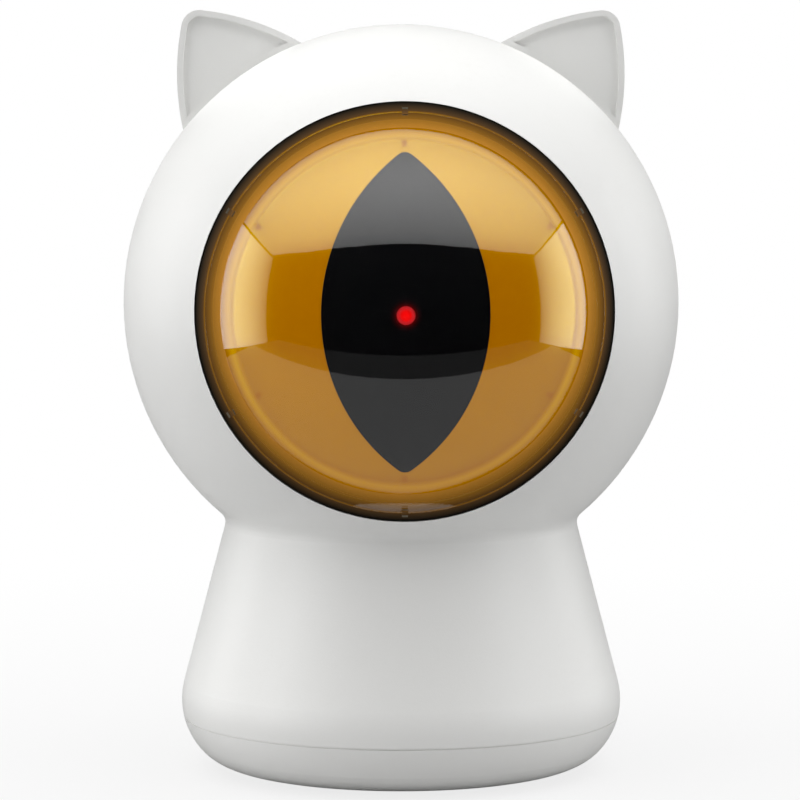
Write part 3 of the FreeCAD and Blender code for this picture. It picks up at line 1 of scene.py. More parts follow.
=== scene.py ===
# %% [markdown]
# # A cat laser toy, dressed in Blender
#
# The toy is a ball head with two ears on a flared pedestal. A big eye looks out of a round
# window: a gilded iris, a black slit pupil and a red laser behind its hole, all on a motor
# driven ball behind a clear dome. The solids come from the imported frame. This lesson gives
# them finishes, turns the round pieces again with smooth faces, and lights a small studio.

# %% Load the frame
import math

import bmesh
import bpy
from mathutils import Matrix, Vector


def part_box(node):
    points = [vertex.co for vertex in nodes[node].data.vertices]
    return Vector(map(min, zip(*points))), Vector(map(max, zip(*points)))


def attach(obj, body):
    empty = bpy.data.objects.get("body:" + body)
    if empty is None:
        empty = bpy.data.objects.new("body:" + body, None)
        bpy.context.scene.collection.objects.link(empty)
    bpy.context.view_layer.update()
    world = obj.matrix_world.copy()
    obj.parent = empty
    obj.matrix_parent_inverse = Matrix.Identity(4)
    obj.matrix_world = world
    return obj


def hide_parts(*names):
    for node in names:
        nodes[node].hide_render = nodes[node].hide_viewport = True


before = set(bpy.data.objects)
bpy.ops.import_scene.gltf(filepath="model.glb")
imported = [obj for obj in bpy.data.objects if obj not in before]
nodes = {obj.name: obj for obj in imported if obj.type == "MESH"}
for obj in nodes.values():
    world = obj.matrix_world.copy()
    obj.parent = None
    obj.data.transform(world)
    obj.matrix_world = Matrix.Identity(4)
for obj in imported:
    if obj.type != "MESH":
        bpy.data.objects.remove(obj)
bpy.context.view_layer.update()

# %% [markdown]
# ## Where the eye is
#
# Every place that the scene needs is measured on the solids, so that the pieces made here
# follow them. The dome is a cap of the same ball as the head, so its front gives the radius,
# and the middle of its height gives the height of the eye's axis.

# %% Measure the head
dome_low, dome_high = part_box("dome_lens")
HEAD_RADIUS = -dome_low.y
HEAD = Vector((0.0, 0.0, (dome_low.z + dome_high.z) / 2))
DOME_RIM = dome_high.x
FLOOR = 0.0
print(f"head radius {HEAD_RADIUS * 1000:.1f} mm, eye axis at {HEAD.z * 1000:.1f} mm")


# %% [markdown]
# ## Small helpers for node trees
#
# Shader trees and geometry trees are built alike: nodes are added, given values and linked.
# A few short functions keep the cells that follow readable. A value that is a socket is
# linked, and any other value is set on the socket itself.

# %% Add a node and fill its sockets
def add(tree, kind, **values):
    """Adds a node and sets its properties by name."""
    node = tree.nodes.new(kind)
    for name, value in values.items():
        setattr(node, name, value)
    return node


def put(socket, value):
    """Links a socket to what feeds it, or sets its plain value."""
    if isinstance(value, bpy.types.NodeSocket):
        socket.id_data.links.new(value, socket)
    else:
        socket.default_value = value


def fill(node, **sockets):
    """Sets or links inputs by name, with underscores for spaces."""
    for name, value in sockets.items():
        put(node.inputs[name.replace("_", " ")], value)
    return node


# %% Maths in one line
def work_out(kind, tree, operation, *values):
    """A maths node with its inputs in order."""
    node = add(tree, kind, operation=operation)
    for socket, value in zip(node.inputs, values):
        put(socket, value)
    return node.outputs[0]


def plain_math(tree, operation, *values):
    return work_out("ShaderNodeMath", tree, operation, *values)


def whole_math(tree, operation, *values):
    return work_out("FunctionNodeIntegerMath", tree, operation, *values)


def vector_math(tree, operation, *values):
    return work_out("ShaderNodeVectorMath", tree, operation, *values)


def length_of(tree, vector):
    """The length of a vector, which comes out of a socket of its own."""
    node = add(tree, "ShaderNodeVectorMath", operation="LENGTH")
    return fill(node, Vector=vector).outputs["Value"]


def parts_of(tree, vector):
    """The X, Y and Z of a vector."""
    return fill(add(tree, "ShaderNodeSeparateXYZ"), Vector=vector).outputs


def vector_of(tree, **parts):
    """A vector from its X, Y and Z; a part that is left out is zero."""
    return fill(add(tree, "ShaderNodeCombineXYZ"), **parts).outputs[0]


def place_on_piece(tree):
    """The place of a point on the piece, which moves and turns with it."""
    return add(tree, "ShaderNodeTexCoord").outputs["Object"]


# %% New node groups
def new_group(name, kind, sockets):
    """A node group with named sockets: (name, "INPUT" or "OUTPUT", type, default)."""
    tree = bpy.data.node_groups.new(name, kind)
    for label, way, form, value in sockets:
        socket = tree.interface.new_socket(name=label, in_out=way, socket_type=form)
        if value is not None:
            socket.default_value = value
    return tree, add(tree, "NodeGroupInput"), add(tree, "NodeGroupOutput")


FLOAT, WHOLE = "NodeSocketFloat", "NodeSocketInt"
SHAPE, PAINT = "NodeSocketGeometry", "NodeSocketMaterial"


# %% [markdown]
# ## Effects that several finishes share
#
# Moulded plastic is never quite even: the mould's fine grain breaks up the gloss, and the gloss
# itself drifts a little over the part. *Moulded Skin* gives both, as a roughness and a height.
# Dust settles on what faces up. *Settled Dust* finds those faces and breaks them into specks
# and veils. *Drawn Metal* gives the fine streaks that a wire or a sheet keeps from its making.

# %% The moulded skin group
def noise_of(tree, where, scale, detail=3.0, rough=0.55):
    """Cloudy noise at a place, whose size falls as its scale grows."""
    noise = add(tree, "ShaderNodeTexNoise")
    return fill(noise, Vector=where, Scale=scale, Detail=detail, Roughness=rough)


def spread(tree, value, low, high, floor=0.35, ceiling=0.65):
    """Stretches a noise value, which stays near its middle, to the range from low to high."""
    node = add(tree, "ShaderNodeMapRange")
    return fill(node, Value=value, From_Min=floor, From_Max=ceiling, To_Min=low, To_Max=high)


def moulded_skin():
    tree, ins, outs = new_group("Moulded Skin", "ShaderNodeTree", [
        ("Grain Scale", "INPUT", FLOAT, 2600.0),
        ("Grain Depth", "INPUT", FLOAT, 1.0),
        ("Gloss", "INPUT", FLOAT, 0.3),
        ("Matt", "INPUT", FLOAT, 0.4),
        ("Roughness", "OUTPUT", FLOAT, None),
        ("Height", "OUTPUT", FLOAT, None),
    ])
    where = place_on_piece(tree)
    drift = noise_of(tree, where, 38.0, 2.0)
    gloss = spread(tree, drift.outputs["Fac"], ins.outputs["Gloss"], ins.outputs["Matt"])
    grain = noise_of(tree, where, ins.outputs["Grain Scale"], 1.0)
    wave = noise_of(tree, where, 160.0, 1.0)
    deep = plain_math(tree, "MULTIPLY", grain.outputs["Fac"], ins.outputs["Grain Depth"])
    both = plain_math(tree, "ADD", deep, wave.outputs["Fac"])
    fill(outs, Roughness=gloss.outputs["Result"], Height=both)
    return tree


# %% The settled dust group
def settled_dust():
    tree, ins, outs = new_group("Settled Dust", "ShaderNodeTree", [
        ("Amount", "INPUT", FLOAT, 0.3),
        ("Speck Scale", "INPUT", FLOAT, 700.0),
        ("Mask", "OUTPUT", FLOAT, None),
    ])
    where = place_on_piece(tree)
    normal = add(tree, "ShaderNodeNewGeometry").outputs["Normal"]
    up = spread(tree, parts_of(tree, normal)["Z"], 0.12, 1.0, -0.2, 0.9)
    veil = spread(tree, noise_of(tree, where, 55.0, 4.0).outputs["Fac"], 0.2, 1.0)
    speck = noise_of(tree, where, ins.outputs["Speck Scale"], 1.0)
    speck = spread(tree, speck.outputs["Fac"], 0.3, 1.0, 0.55, 0.75)
    mask = ins.outputs["Amount"]
    for part in (up, veil, speck):
        mask = plain_math(tree, "MULTIPLY", part.outputs["Result"], mask)
    fill(outs, Mask=mask)
    return tree


# %% The drawn metal group
def drawn_metal():
    tree, ins, outs = new_group("Drawn Metal", "ShaderNodeTree", [
        ("Streak Scale", "INPUT", FLOAT, 900.0),
        ("Gloss", "INPUT", FLOAT, 0.25),
        ("Matt", "INPUT", FLOAT, 0.45),
        ("Streak", "OUTPUT", FLOAT, None),
        ("Roughness", "OUTPUT", FLOAT, None),
    ])
    where = place_on_piece(tree)
    stretched = vector_math(tree, "MULTIPLY", where, (1.0, 1.0, 0.06))
    streak = noise_of(tree, stretched, ins.outputs["Streak Scale"], 2.0)
    even = spread(tree, streak.outputs["Fac"], 0.0, 1.0)
    blotch = noise_of(tree, where, 240.0, 3.0)
    gloss = spread(tree, blotch.outputs["Fac"], ins.outputs["Gloss"], ins.outputs["Matt"])
    fill(outs, Streak=even.outputs["Result"], Roughness=gloss.outputs["Result"])
    return tree


MOULDED, DUST, DRAWN = moulded_skin(), settled_dust(), drawn_metal()
print("shader groups:", MOULDED.name, DUST.name, DRAWN.name)


# %% [markdown]
# ## Plastics, rubber and metals
#
# The toy is moulded in white plastic, and its works are nylon, rubber, steel and bronze. Each
# finish could be mixed by hand, but they differ only in colour and gloss. So one function makes
# every moulded finish and another makes every metal. The Principled shader stays in each
# material, with its plain numbers on its own sockets, and the groups feed it only what changes
# over the surface.

# %% Start a finish
def only_one(tree, kind):
    """The one node of this kind that a new material starts with."""
    return next(node for node in tree.nodes if node.type == kind)


def new_finish(name, **plain):
    """A material with a Principled shader whose plain sockets are set."""
    material = bpy.data.materials.new(name)
    material.use_nodes = True
    tree = material.node_tree
    return material, tree, fill(only_one(tree, "BSDF_PRINCIPLED"), **plain)


def mix_shaders(tree, factor, first, second):
    """Shows the first shader where the factor is 0 and the second where it is 1."""
    mix = add(tree, "ShaderNodeMixShader")
    for socket, source in zip(mix.inputs, (factor, first, second)):
        tree.links.new(source, socket)
    return mix.outputs[0]


def place_group(tree, group, **values):
    """A shared effect, placed with its own values."""
    node = add(tree, "ShaderNodeGroup", node_tree=group)
    return fill(node, **values)


COLOUR_A, COLOUR_B, COLOUR_OUT = 6, 7, 2


def blend_colours(tree, factor, first, second):
    """Mixes two colours by a factor that changes over the surface. A mix node has sockets of
    one name for each kind of data, so its colours are found by number."""
    mix = add(tree, "ShaderNodeMix", data_type="RGBA")
    tree.links.new(factor, mix.inputs["Factor"])
    for index, colour in ((COLOUR_A, first), (COLOUR_B, second)):
        put(mix.inputs[index], (*colour, 1.0) if isinstance(colour, tuple) else colour)
    return mix.outputs[COLOUR_OUT]


# %% Grain, plastic and metal
def raise_grain(tree, shader, height, strength, distance, **base):
    """Feeds a fine relief to the shader; distance is its height in metres."""
    bump = add(tree, "ShaderNodeBump")
    fill(bump, Height=height, Strength=strength, Distance=distance, **base)
    tree.links.new(bump.outputs["Normal"], shader.inputs["Normal"])


def plastic(name, clean, dusty, gloss, matt, grain=2600.0, dust=0.35):
    material, tree, shader = new_finish(name, IOR=1.5)
    skin = place_group(tree, MOULDED, Grain_Scale=grain, Gloss=gloss, Matt=matt)
    veil = place_group(tree, DUST, Amount=dust)
    colour = blend_colours(tree, veil.outputs["Mask"], clean, dusty)
    fill(shader, Base_Color=colour, Roughness=skin.outputs["Roughness"])
    raise_grain(tree, shader, skin.outputs["Height"], 0.18, 0.00008)
    return material


def metal(name, light, dark, gloss, matt, scale=900.0):
    material, tree, shader = new_finish(name, Metallic=1.0)
    streaks = place_group(tree, DRAWN, Streak_Scale=scale, Gloss=gloss, Matt=matt)
    colour = blend_colours(tree, streaks.outputs["Streak"], dark, light)
    fill(shader, Base_Color=colour, Roughness=streaks.outputs["Roughness"])
    raise_grain(tree, shader, streaks.outputs["Streak"], 0.12, 0.00004)
    return material


# %% Mix the plain finishes
FINISHES = {
    "shell_white": plastic("white_shell", (0.83, 0.83, 0.815), (0.76, 0.755, 0.73), 0.38, 0.46,
                           dust=0.25),
    "frame_grey": plastic("frame_nylon", (0.22, 0.23, 0.24), (0.3, 0.3, 0.3), 0.5, 0.62, 1500.0),
    "gear_natural": plastic("gear_acetal", (0.78, 0.76, 0.68), (0.7, 0.68, 0.6), 0.32, 0.45),
    "foot_rubber": plastic("foot_rubber", (0.035, 0.035, 0.037), (0.16, 0.155, 0.15), 0.7, 0.85,
                           1200.0, 0.6),
    "switch_black": plastic("switch_black", (0.02, 0.02, 0.022), (0.1, 0.1, 0.1), 0.42, 0.55),
    "button_grey": plastic("button_grey", (0.5, 0.51, 0.52), (0.6, 0.6, 0.58), 0.3, 0.42),
    "steel": metal("screw_steel", (0.62, 0.63, 0.65), (0.4, 0.41, 0.43), 0.22, 0.38),
    "bush_bronze": metal("bush_bronze", (0.62, 0.42, 0.2), (0.42, 0.27, 0.12), 0.3, 0.5),
    "motor_can": metal("motor_can", (0.66, 0.66, 0.64), (0.5, 0.5, 0.48), 0.28, 0.42, 500.0),
    "socket_metal": metal("socket_shell", (0.7, 0.7, 0.71), (0.5, 0.5, 0.52), 0.18, 0.34),
    "laser_brass": metal("laser_brass", (0.8, 0.6, 0.26), (0.58, 0.4, 0.14), 0.2, 0.36),
}
print(len(FINISHES), "plain finishes")


# %% [markdown]
# ## The gilded iris
#
# The iris is a thin cap with a warm, polished gilding. It is only partly a mirror: most of its
# colour is a deep amber that scatters light, and the rest is a clear yellow sheen. The bezel
# shades the edge of the cap. A painted brighter band there, and a painted glow over the cap that
# is strongest at the edge and near the top, stand in for light that the lamps do not bring;
# both are worked out from the distance to the eye's axis. Its lacquer is thicker in the middle,
# which makes the sheen as round as the dome's and lays one over the other. That is done by giving
# the shader the normal of a larger ball, turned from the piece to the world, so it moves with the
# eye.

# %% Distance from the eye's axis
def axis_distance(tree):
    """How far a point is from the eye's axis, and its place from the head's centre."""
    mapping = add(tree, "ShaderNodeMapping", vector_type="POINT")
    fill(mapping, Vector=place_on_piece(tree), Location=(0.0, 0.0, -HEAD.z))
    centred = mapping.outputs[0]
    return length_of(tree, vector_math(tree, "MULTIPLY", centred, (1.0, 0.0, 1.0))), centred


def share_between(tree, distance, near, far):
    """0 at the near distance and 1 at the far one."""
    return spread(tree, distance, 0.0, 1.0, near, far).outputs["Result"]


def ramp(tree, value, stops):
    """A colour ramp: a list of (position, colour)."""
    node = add(tree, "ShaderNodeValToRGB")
    tree.links.new(value, node.inputs["Fac"])
    points = node.color_ramp.elements
    while len(points) < len(stops):
        points.new(0.5)
    for point, (position, colour) in zip(points, stops):
        point.position = position
        point.color = (*colour, 1.0)
    return node.outputs["Color"]


# %% Painted glow, dimmer below, and a rounder sheen
DIMMEST_AT, BRIGHTEST_AT = -0.038, 0.01


def painted_glow_dimmer_below(tree, colour, centred, least=0.58):
    """Dims a painted glow to its least at the bottom, as painted shade where less light falls."""
    height = parts_of(tree, centred)["Z"]
    share = spread(tree, height, least, 1.0, DIMMEST_AT, BRIGHTEST_AT)
    scaled = add(tree, "ShaderNodeVectorMath", operation="SCALE")
    return fill(scaled, Vector=colour, Scale=share.outputs["Result"]).outputs[0]


def flatter_normal(tree, centred, back):
    """The normal of a ball whose centre lies further back than the centre of the cap."""
    away = vector_math(tree, "SUBTRACT", centred, (0.0, back, 0.0))
    turned = add(tree, "ShaderNodeVectorTransform", vector_type="NORMAL", convert_from="OBJECT",
                 convert_to="WORLD")
    return vector_math(tree, "NORMALIZE", fill(turned, Vector=away).outputs[0])


# %% The gilding
IRIS_EDGE = 0.0346
SHEEN_BACK = 0.0073


def gilding():
    material, tree, shader = new_finish("iris_gilding", Metallic=0.15, IOR=2.1,
                                         Specular_Tint=(0.95, 1.0, 0.0, 1.0),
                                         Emission_Strength=1.0)
    distance, centred = axis_distance(tree)
    share = share_between(tree, distance, 0.0, IRIS_EDGE)
    # A painted brighter band near the edge of the cap, where the bezel shades it.
    tone = ramp(tree, share, [
        (0.0, (0.335, 0.14, 0.0)),
        (0.92, (0.345, 0.15, 0.0)),
        (0.955, (0.52, 0.28, 0.0)),
        (0.972, (0.5, 0.26, 0.0)),
        (1.0, (0.42, 0.2, 0.0)),
    ])
    # A painted glow over the whole cap, a little stronger near the edge.
    painted_glow = ramp(tree, share, [
        (0.0, (0.2, 0.055, 0.0)),
        (0.92, (0.205, 0.06, 0.0)),
        (0.955, (0.27, 0.12, 0.0)),
        (0.972, (0.265, 0.115, 0.0)),
        (1.0, (0.2, 0.075, 0.0)),
    ])
    # A painted glow at the edge, dimmed to nothing at the bottom.
    painted_rim_glow = ramp(tree, share, [
        (0.925, (0.0, 0.0, 0.0)),
        (0.955, (0.14, 0.12, 0.0)),
        (0.975, (0.08, 0.06, 0.0)),
        (0.995, (0.0, 0.0, 0.0)),
    ])
    light = vector_math(tree, "ADD", painted_glow, painted_glow_dimmer_below(tree, painted_rim_glow, centred, least=0.0))
    cloud = spread(tree, noise_of(tree, centred, 60.0, 1.0).outputs["Fac"], 0.0, 0.1)
    colour = blend_colours(tree, cloud.outputs["Result"], tone, (0.28, 0.11, 0.0))
    skin = place_group(tree, MOULDED, Grain_Scale=1500.0, Gloss=0.15, Matt=0.19)
    fill(shader, Base_Color=colour, Roughness=skin.outputs["Roughness"], Emission_Color=light)
    raise_grain(tree, shader, skin.outputs["Height"], 0.01, 0.00001,
                Normal=flatter_normal(tree, centred, SHEEN_BACK))
    return material


FINISHES["iris_gold"] = gilding()
print(f"gilding out to {IRIS_EDGE * 1000:.1f} mm from the eye's axis")


# %% [markdown]
# ## The cup behind the iris
#
# The eyeball's cup shows as a ring between the iris and the window. Its amber lacquer darkens
# from amber brown to nearly black towards the window's edge, as painted shade in the recess
# there, and a painted glow lies next to the iris. A see-through shader could show light coming
# from behind the iris, but it would be slow to trace, so the glow is painted into the finish. The
# lamps light it from above, so the painted glow is dimmed towards the bottom.

# %% The cup's lacquer
CUP_NEAR, CUP_FAR = 0.034, 0.0385


def lacquer():
    material, tree, shader = new_finish("cup_lacquer", IOR=1.5, Emission_Strength=1.0)
    distance, centred = axis_distance(tree)
    share = share_between(tree, distance, CUP_NEAR, CUP_FAR)
    # Painted shade: the colour darkens towards the window's edge.
    tone = ramp(tree, share, [
        (0.0, (0.5, 0.22, 0.03)),
        (0.45, (0.26, 0.12, 0.03)),
        (1.0, (0.035, 0.022, 0.012)),
    ])
    # A painted glow next to the iris, fading outwards.
    painted_amber_glow = ramp(tree, share, [
        (0.0, (0.45, 0.22, 0.03)),
        (0.6, (0.3, 0.135, 0.016)),
        (1.0, (0.0, 0.0, 0.0)),
    ])
    cloud = spread(tree, noise_of(tree, centred, 300.0).outputs["Fac"], 0.0, 0.25)
    colour = blend_colours(tree, cloud.outputs["Result"], tone, (0.12, 0.06, 0.02))
    skin = place_group(tree, MOULDED, Grain_Scale=1800.0, Gloss=0.45, Matt=0.6)
    fill(shader, Base_Color=colour, Roughness=skin.outputs["Roughness"],
         Emission_Color=painted_glow_dimmer_below(tree, painted_amber_glow, centred))
    raise_grain(tree, shader, skin.outputs["Height"], 0.15, 0.00006)
    return material


FINISHES["cup_brown"] = lacquer()
print(f"lacquer darkens from {CUP_NEAR * 1000:.1f} to {CUP_FAR * 1000:.1f} mm")


# %% [markdown]
# ## The smoked bezel
#
# The bezel is moulded in a smoked amber plastic, and the thick rim round its lip is nearly
# black. Its thin lip behind the dome carries a painted amber glow which, as on the cup, fades
# with the distance from the eye's axis and is dimmed towards the bottom.

# %% Smoked plastic
LIP_NEAR, LIP_FAR = 0.0358, 0.0392


def smoked_plastic():
    material, tree, shader = new_finish("smoked_bezel", IOR=1.5, Specular_IOR_Level=0.05,
                                        Emission_Strength=1.0)
    distance, centred = axis_distance(tree)
    share = share_between(tree, distance, LIP_NEAR, LIP_FAR)
    # A painted amber glow on the lip, fading outwards.
    painted_amber_glow = ramp(tree, share, [
        (0.0, (0.31, 0.14, 0.014)),
        (0.3, (0.2, 0.09, 0.014)),
        (0.5, (0.11, 0.05, 0.012)),
        (0.72, (0.05, 0.025, 0.008)),
        (1.0, (0.0, 0.0, 0.0)),
    ])
    veil = place_group(tree, DUST, Amount=0.3)
    colour = blend_colours(tree, veil.outputs["Mask"], (0.009, 0.007, 0.004), (0.03, 0.026, 0.02))
    skin = place_group(tree, MOULDED, Grain_Scale=2000.0, Gloss=0.4, Matt=0.5)
    fill(shader, Base_Color=colour, Roughness=skin.outputs["Roughness"],
         Emission_Color=painted_glow_dimmer_below(tree, painted_amber_glow, centred))
    raise_grain(tree, shader, skin.outputs["Height"], 0.12, 0.00005)
    return material


FINISHES["bezel_dark"] = smoked_plastic()
print(f"smoked lip from {LIP_NEAR * 1000:.1f} to {LIP_FAR * 1000:.1f} mm")


# %% [markdown]
# ## The pupil and the laser
#
# The pupil is a black satin insert, so dark that it shows little but the dome in front of it.
# The laser's little lens glows: its red is brightest in the middle and falls off to its rim,
# and a faint halo of it lies on the pupil round the hole. A lamp behind a real lens would be
# noisy, and a halo added to the picture would not follow the eye, so both are finishes.

# %% Pupil and laser
LENS_RADIUS = 0.0017
HALO_NEAR, HALO_FAR = 0.0016, 0.003


def pupil_satin():
    material, tree, shader = new_finish("pupil_satin", IOR=1.45, Specular_IOR_Level=0.04,
                                        Emission_Strength=1.0)
    distance, _ = axis_distance(tree)
    halo = ramp(tree, share_between(tree, distance, HALO_NEAR, HALO_FAR), [
        (0.0, (0.13, 0.0, 0.0)),
        (0.27, (0.045, 0.0, 0.0)),
        (0.55, (0.01, 0.0, 0.0)),
        (1.0, (0.0, 0.0, 0.0)),
    ])
    skin = place_group(tree, MOULDED, Grain_Scale=2000.0, Gloss=0.5, Matt=0.62)
    veil = place_group(tree, DUST, Amount=0.1)
    colour = blend_colours(tree, veil.outputs["Mask"], (0.0025, 0.0025, 0.003), (0.02, 0.02, 0.02))
    fill(shader, Base_Color=colour, Roughness=skin.outputs["Roughness"], Emission_Color=halo)
    raise_grain(tree, shader, skin.outputs["Height"], 0.1, 0.00004)
    return material


def laser_glow():
    material, tree, shader = new_finish("laser_glow", Roughness=0.5, Specular_IOR_Level=0.1,
                                        Emission_Strength=1.2)
    distance, _ = axis_distance(tree)
    red = ramp(tree, share_between(tree, distance, 0.0, LENS_RADIUS), [
        (0.0, (0.6, 0.0, 0.0)),
        (0.5, (0.45, 0.0, 0.0)),
        (0.8, (0.3, 0.007, 0.009)),
        (1.0, (0.24, 0.007, 0.009)),
    ])
    fill(shader, Base_Color=red, Emission_Color=red)
    return material


FINISHES["pupil_black"] = pupil_satin()
FINISHES["laser_red"] = laser_glow()
print(f"laser lens {LENS_RADIUS * 2000:.1f} mm wide, halo {HALO_FAR * 2000:.1f} mm wide")


# %% [markdown]
# ## The clear dome
#
# The dome is clear acrylic. Lamps would not shine through real glass in a path tracer without
# a lot of noise, so for shadow rays the shader turns transparent. Handling leaves a faint
# unevenness in the polish, which feeds the roughness.

# %% Clear acrylic
def clear_acrylic():
    material, tree, shader = new_finish("clear_acrylic", IOR=1.49, Transmission_Weight=1.0)
    smear = noise_of(tree, place_on_piece(tree), 45.0, 4.0).outputs["Fac"]
    fill(shader, Base_Color=(1.0, 1.0, 1.0, 1.0),
         Roughness=spread(tree, smear, 0.0, 0.02).outputs["Result"])
    shadow_ray = add(tree, "ShaderNodeLightPath").outputs["Is Shadow Ray"]
    clear = add(tree, "ShaderNodeBsdfTransparent").outputs[0]
    mixed = mix_shaders(tree, shadow_ray, shader.outputs[0], clear)
    fill(only_one(tree, "OUTPUT_MATERIAL"), Surface=mixed)
    return material


FINISHES["dome_clear"] = clear_acrylic()
print("dome finish:", FINISHES["dome_clear"].name)


# %% [markdown]
# ## Board and battery
#
# The circuit board's solder mask is green with darker and lighter runs where copper lies under
# it. They are too fine to be drawn one by one, so a brick pattern stands for them. The battery
# is wrapped in shrink film, whose gloss shows soft folds.

# %% Solder mask and shrink film
def solder_mask():
    material, tree, shader = new_finish("solder_mask", IOR=1.5)
    tracks = add(tree, "ShaderNodeTexBrick", offset=0.35)
    fill(tracks, Vector=place_on_piece(tree), Scale=420.0, Mortar_Size=0.08,
         Color1=(0.012, 0.13, 0.04, 1.0), Color2=(0.008, 0.1, 0.03, 1.0),
         Mortar=(0.03, 0.22, 0.08, 1.0))
    skin = place_group(tree, MOULDED, Grain_Scale=1500.0, Gloss=0.25, Matt=0.38)
    fill(shader, Base_Color=tracks.outputs["Color"], Roughness=skin.outputs["Roughness"])
    raise_grain(tree, shader, tracks.outputs["Fac"], 0.2, 0.00005)
    return material


def shrink_film():
    material, tree, shader = new_finish("shrink_film", IOR=1.5)
    folds = noise_of(tree, place_on_piece(tree), 130.0, 4.0, 0.6)
    tone = spread(tree, folds.outputs["Fac"], 0.0, 1.0)
    colour = blend_colours(tree, tone.outputs["Result"], (0.015, 0.07, 0.2), (0.03, 0.12, 0.3))
    gloss = spread(tree, folds.outputs["Fac"], 0.18, 0.34)
    fill(shader, Base_Color=colour, Roughness=gloss.outputs["Result"])
    raise_grain(tree, shader, folds.outputs["Fac"], 0.3, 0.0002)
    return material


FINISHES["board_green"] = solder_mask()
FINISHES["battery_wrap"] = shrink_film()
print(len(FINISHES), "finishes in all")


# %% [markdown]
# ## Dress the solids
#
# Each solid comes with a plain material that is named for its slot. The finishes above are
# kept under the slots' names, so one loop dresses every solid. The mesh stays as packed.

# %% Dress every node
for name, solid in nodes.items():
    slot_name = solid.data.materials[0].name
    solid.data.materials[0] = FINISHES[slot_name]
print(len(nodes), "nodes dressed")


# %% [markdown]
# ## A lathe made of geometry nodes
#
# Most round pieces of the toy are turned: their shape is one profile, spun about an axis. The
# tree below lays a grid whose columns are copies of the profile's points, and bends it round.
# Whatever meets, at the axis and at the seam, is merged. The profile is the object's own mesh,
# a chain of points with x as the radius and z along the axis.

# %% The lathe tree
def finish_tree(tree, shape, ins, outs, label):
    """Every tree ends the same way: real faces with a material on them."""
    real = add(tree, "GeometryNodeRealizeInstances")
    tree.links.new(shape, real.inputs[0])
    painted = add(tree, "GeometryNodeSetMaterial")
    fill(painted, Geometry=real.outputs[0], Material=ins.outputs["Finish"])
    tree.links.new(painted.outputs[0], outs.inputs[label])


def lathe_tree():
    tree, ins, outs = new_group("Lathe", "GeometryNodeTree", [
        ("Profile", "INPUT", SHAPE, None),
        ("Steps", "INPUT", WHOLE, 96),
        ("Finish", "INPUT", PAINT, None),
        ("Turned", "OUTPUT", SHAPE, None),
    ])
    count = add(tree, "GeometryNodeAttributeDomainSize", component="MESH")
    tree.links.new(ins.outputs["Profile"], count.inputs[0])
    columns = whole_math(tree, "ADD", ins.outputs["Steps"], 1)
    grid = add(tree, "GeometryNodeMeshGrid")
    fill(grid, Vertices_X=count.outputs["Point Count"], Vertices_Y=columns)
    index = add(tree, "GeometryNodeInputIndex").outputs[0]
    row = whole_math(tree, "DIVIDE_FLOOR", index, columns)
    step = whole_math(tree, "MODULO", index, columns)
    sample = add(tree, "GeometryNodeSampleIndex", data_type="FLOAT_VECTOR", domain="POINT")
    fill(sample, Geometry=ins.outputs["Profile"], Index=row,
         Value=add(tree, "GeometryNodeInputPosition").outputs[0])
    point = parts_of(tree, sample.outputs[0])
    turn = plain_math(tree, "DIVIDE", step, ins.outputs["Steps"])
    turn = plain_math(tree, "MULTIPLY", turn, math.tau)
    across, up = (plain_math(tree, "MULTIPLY", point["X"], plain_math(tree, wave, turn))
                  for wave in ("COSINE", "SINE"))
    moved = add(tree, "GeometryNodeSetPosition")
    fill(moved, Geometry=grid.outputs["Mesh"],
         Position=vector_of(tree, X=across, Y=up, Z=point["Z"]))
    merged = add(tree, "GeometryNodeMergeByDistance")
    fill(merged, Geometry=moved.outputs[0], Distance=1e-6)
    finish_tree(tree, merged.outputs[0], ins, outs, "Turned")
    return tree


LATHE = lathe_tree()
print("tree:", LATHE.name)


# %% [markdown]
# ## From a tree to a plain mesh
#
# A tree runs as a modifier on a small object that holds its points. The result is then copied
# into a plain mesh, its faces are turned outwards, edges sharper than a limit are marked so
# that they shade crisply, and the mesh is moved to its place while its object stays at the
# origin. A piece that stands for solids of the frame rides on their body and hides them.

# %% Pieces from points
def new_piece(name, points, edges=(), faces=()):
    """An object in the scene whose mesh has these points."""
    mesh = bpy.data.meshes.new(name)
    mesh.from_pydata([Vector(point) for point in points], edges, faces)
    piece = bpy.data.objects.new(name, mesh)
    bpy.context.scene.collection.objects.link(piece)
    return piece


def chain(name, points, joined=True):
    """A piece that is a row of points, joined by edges if it is a profile."""
    edges = [(index, index + 1) for index in range(len(points) - 1)] if joined else []
    return new_piece(name, points, edges)


# %% Run a tree and keep its mesh
SHARP_EDGE = math.radians(32.0)


def run_tree(piece, tree, place=None, **values):
    """Runs the tree on the piece and gives the piece the plain mesh that comes out."""
    modifier = piece.modifiers.new("shape", "NODES")
    modifier.node_group = tree
    for item in tree.interface.items_tree:
        if item.item_type == "SOCKET" and item.in_out == "INPUT":
            value = values.get(item.name.replace(" ", "_"))
            if value is not None:
                modifier[item.identifier] = value
    graph = bpy.context.evaluated_depsgraph_get()
    mesh = bpy.data.meshes.new_from_object(piece.evaluated_get(graph))
    piece.modifiers.remove(modifier)
    shape = bmesh.new()
    shape.from_mesh(mesh)
    bmesh.ops.recalc_face_normals(shape, faces=shape.faces)
    if place is not None:
        bmesh.ops.transform(shape, matrix=place, verts=shape.verts)
    shape.to_mesh(mesh)
    shape.free()
    mesh.shade_smooth()
    mesh.set_sharp_from_angle(angle=SHARP_EDGE)
    old, piece.data = piece.data, mesh
    mesh.name = piece.name
    bpy.data.meshes.remove(old)
    print(f"{piece.name}: {len(mesh.polygons)} faces")
    return piece


# %% Take the place of solids
def stand_for(piece, body, slot, *solids):
    """The piece rides on a body and hides the solids it stands for. The slot is not used."""
    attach(piece, body)
    if solids:
        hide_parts(*solids)
    return piece


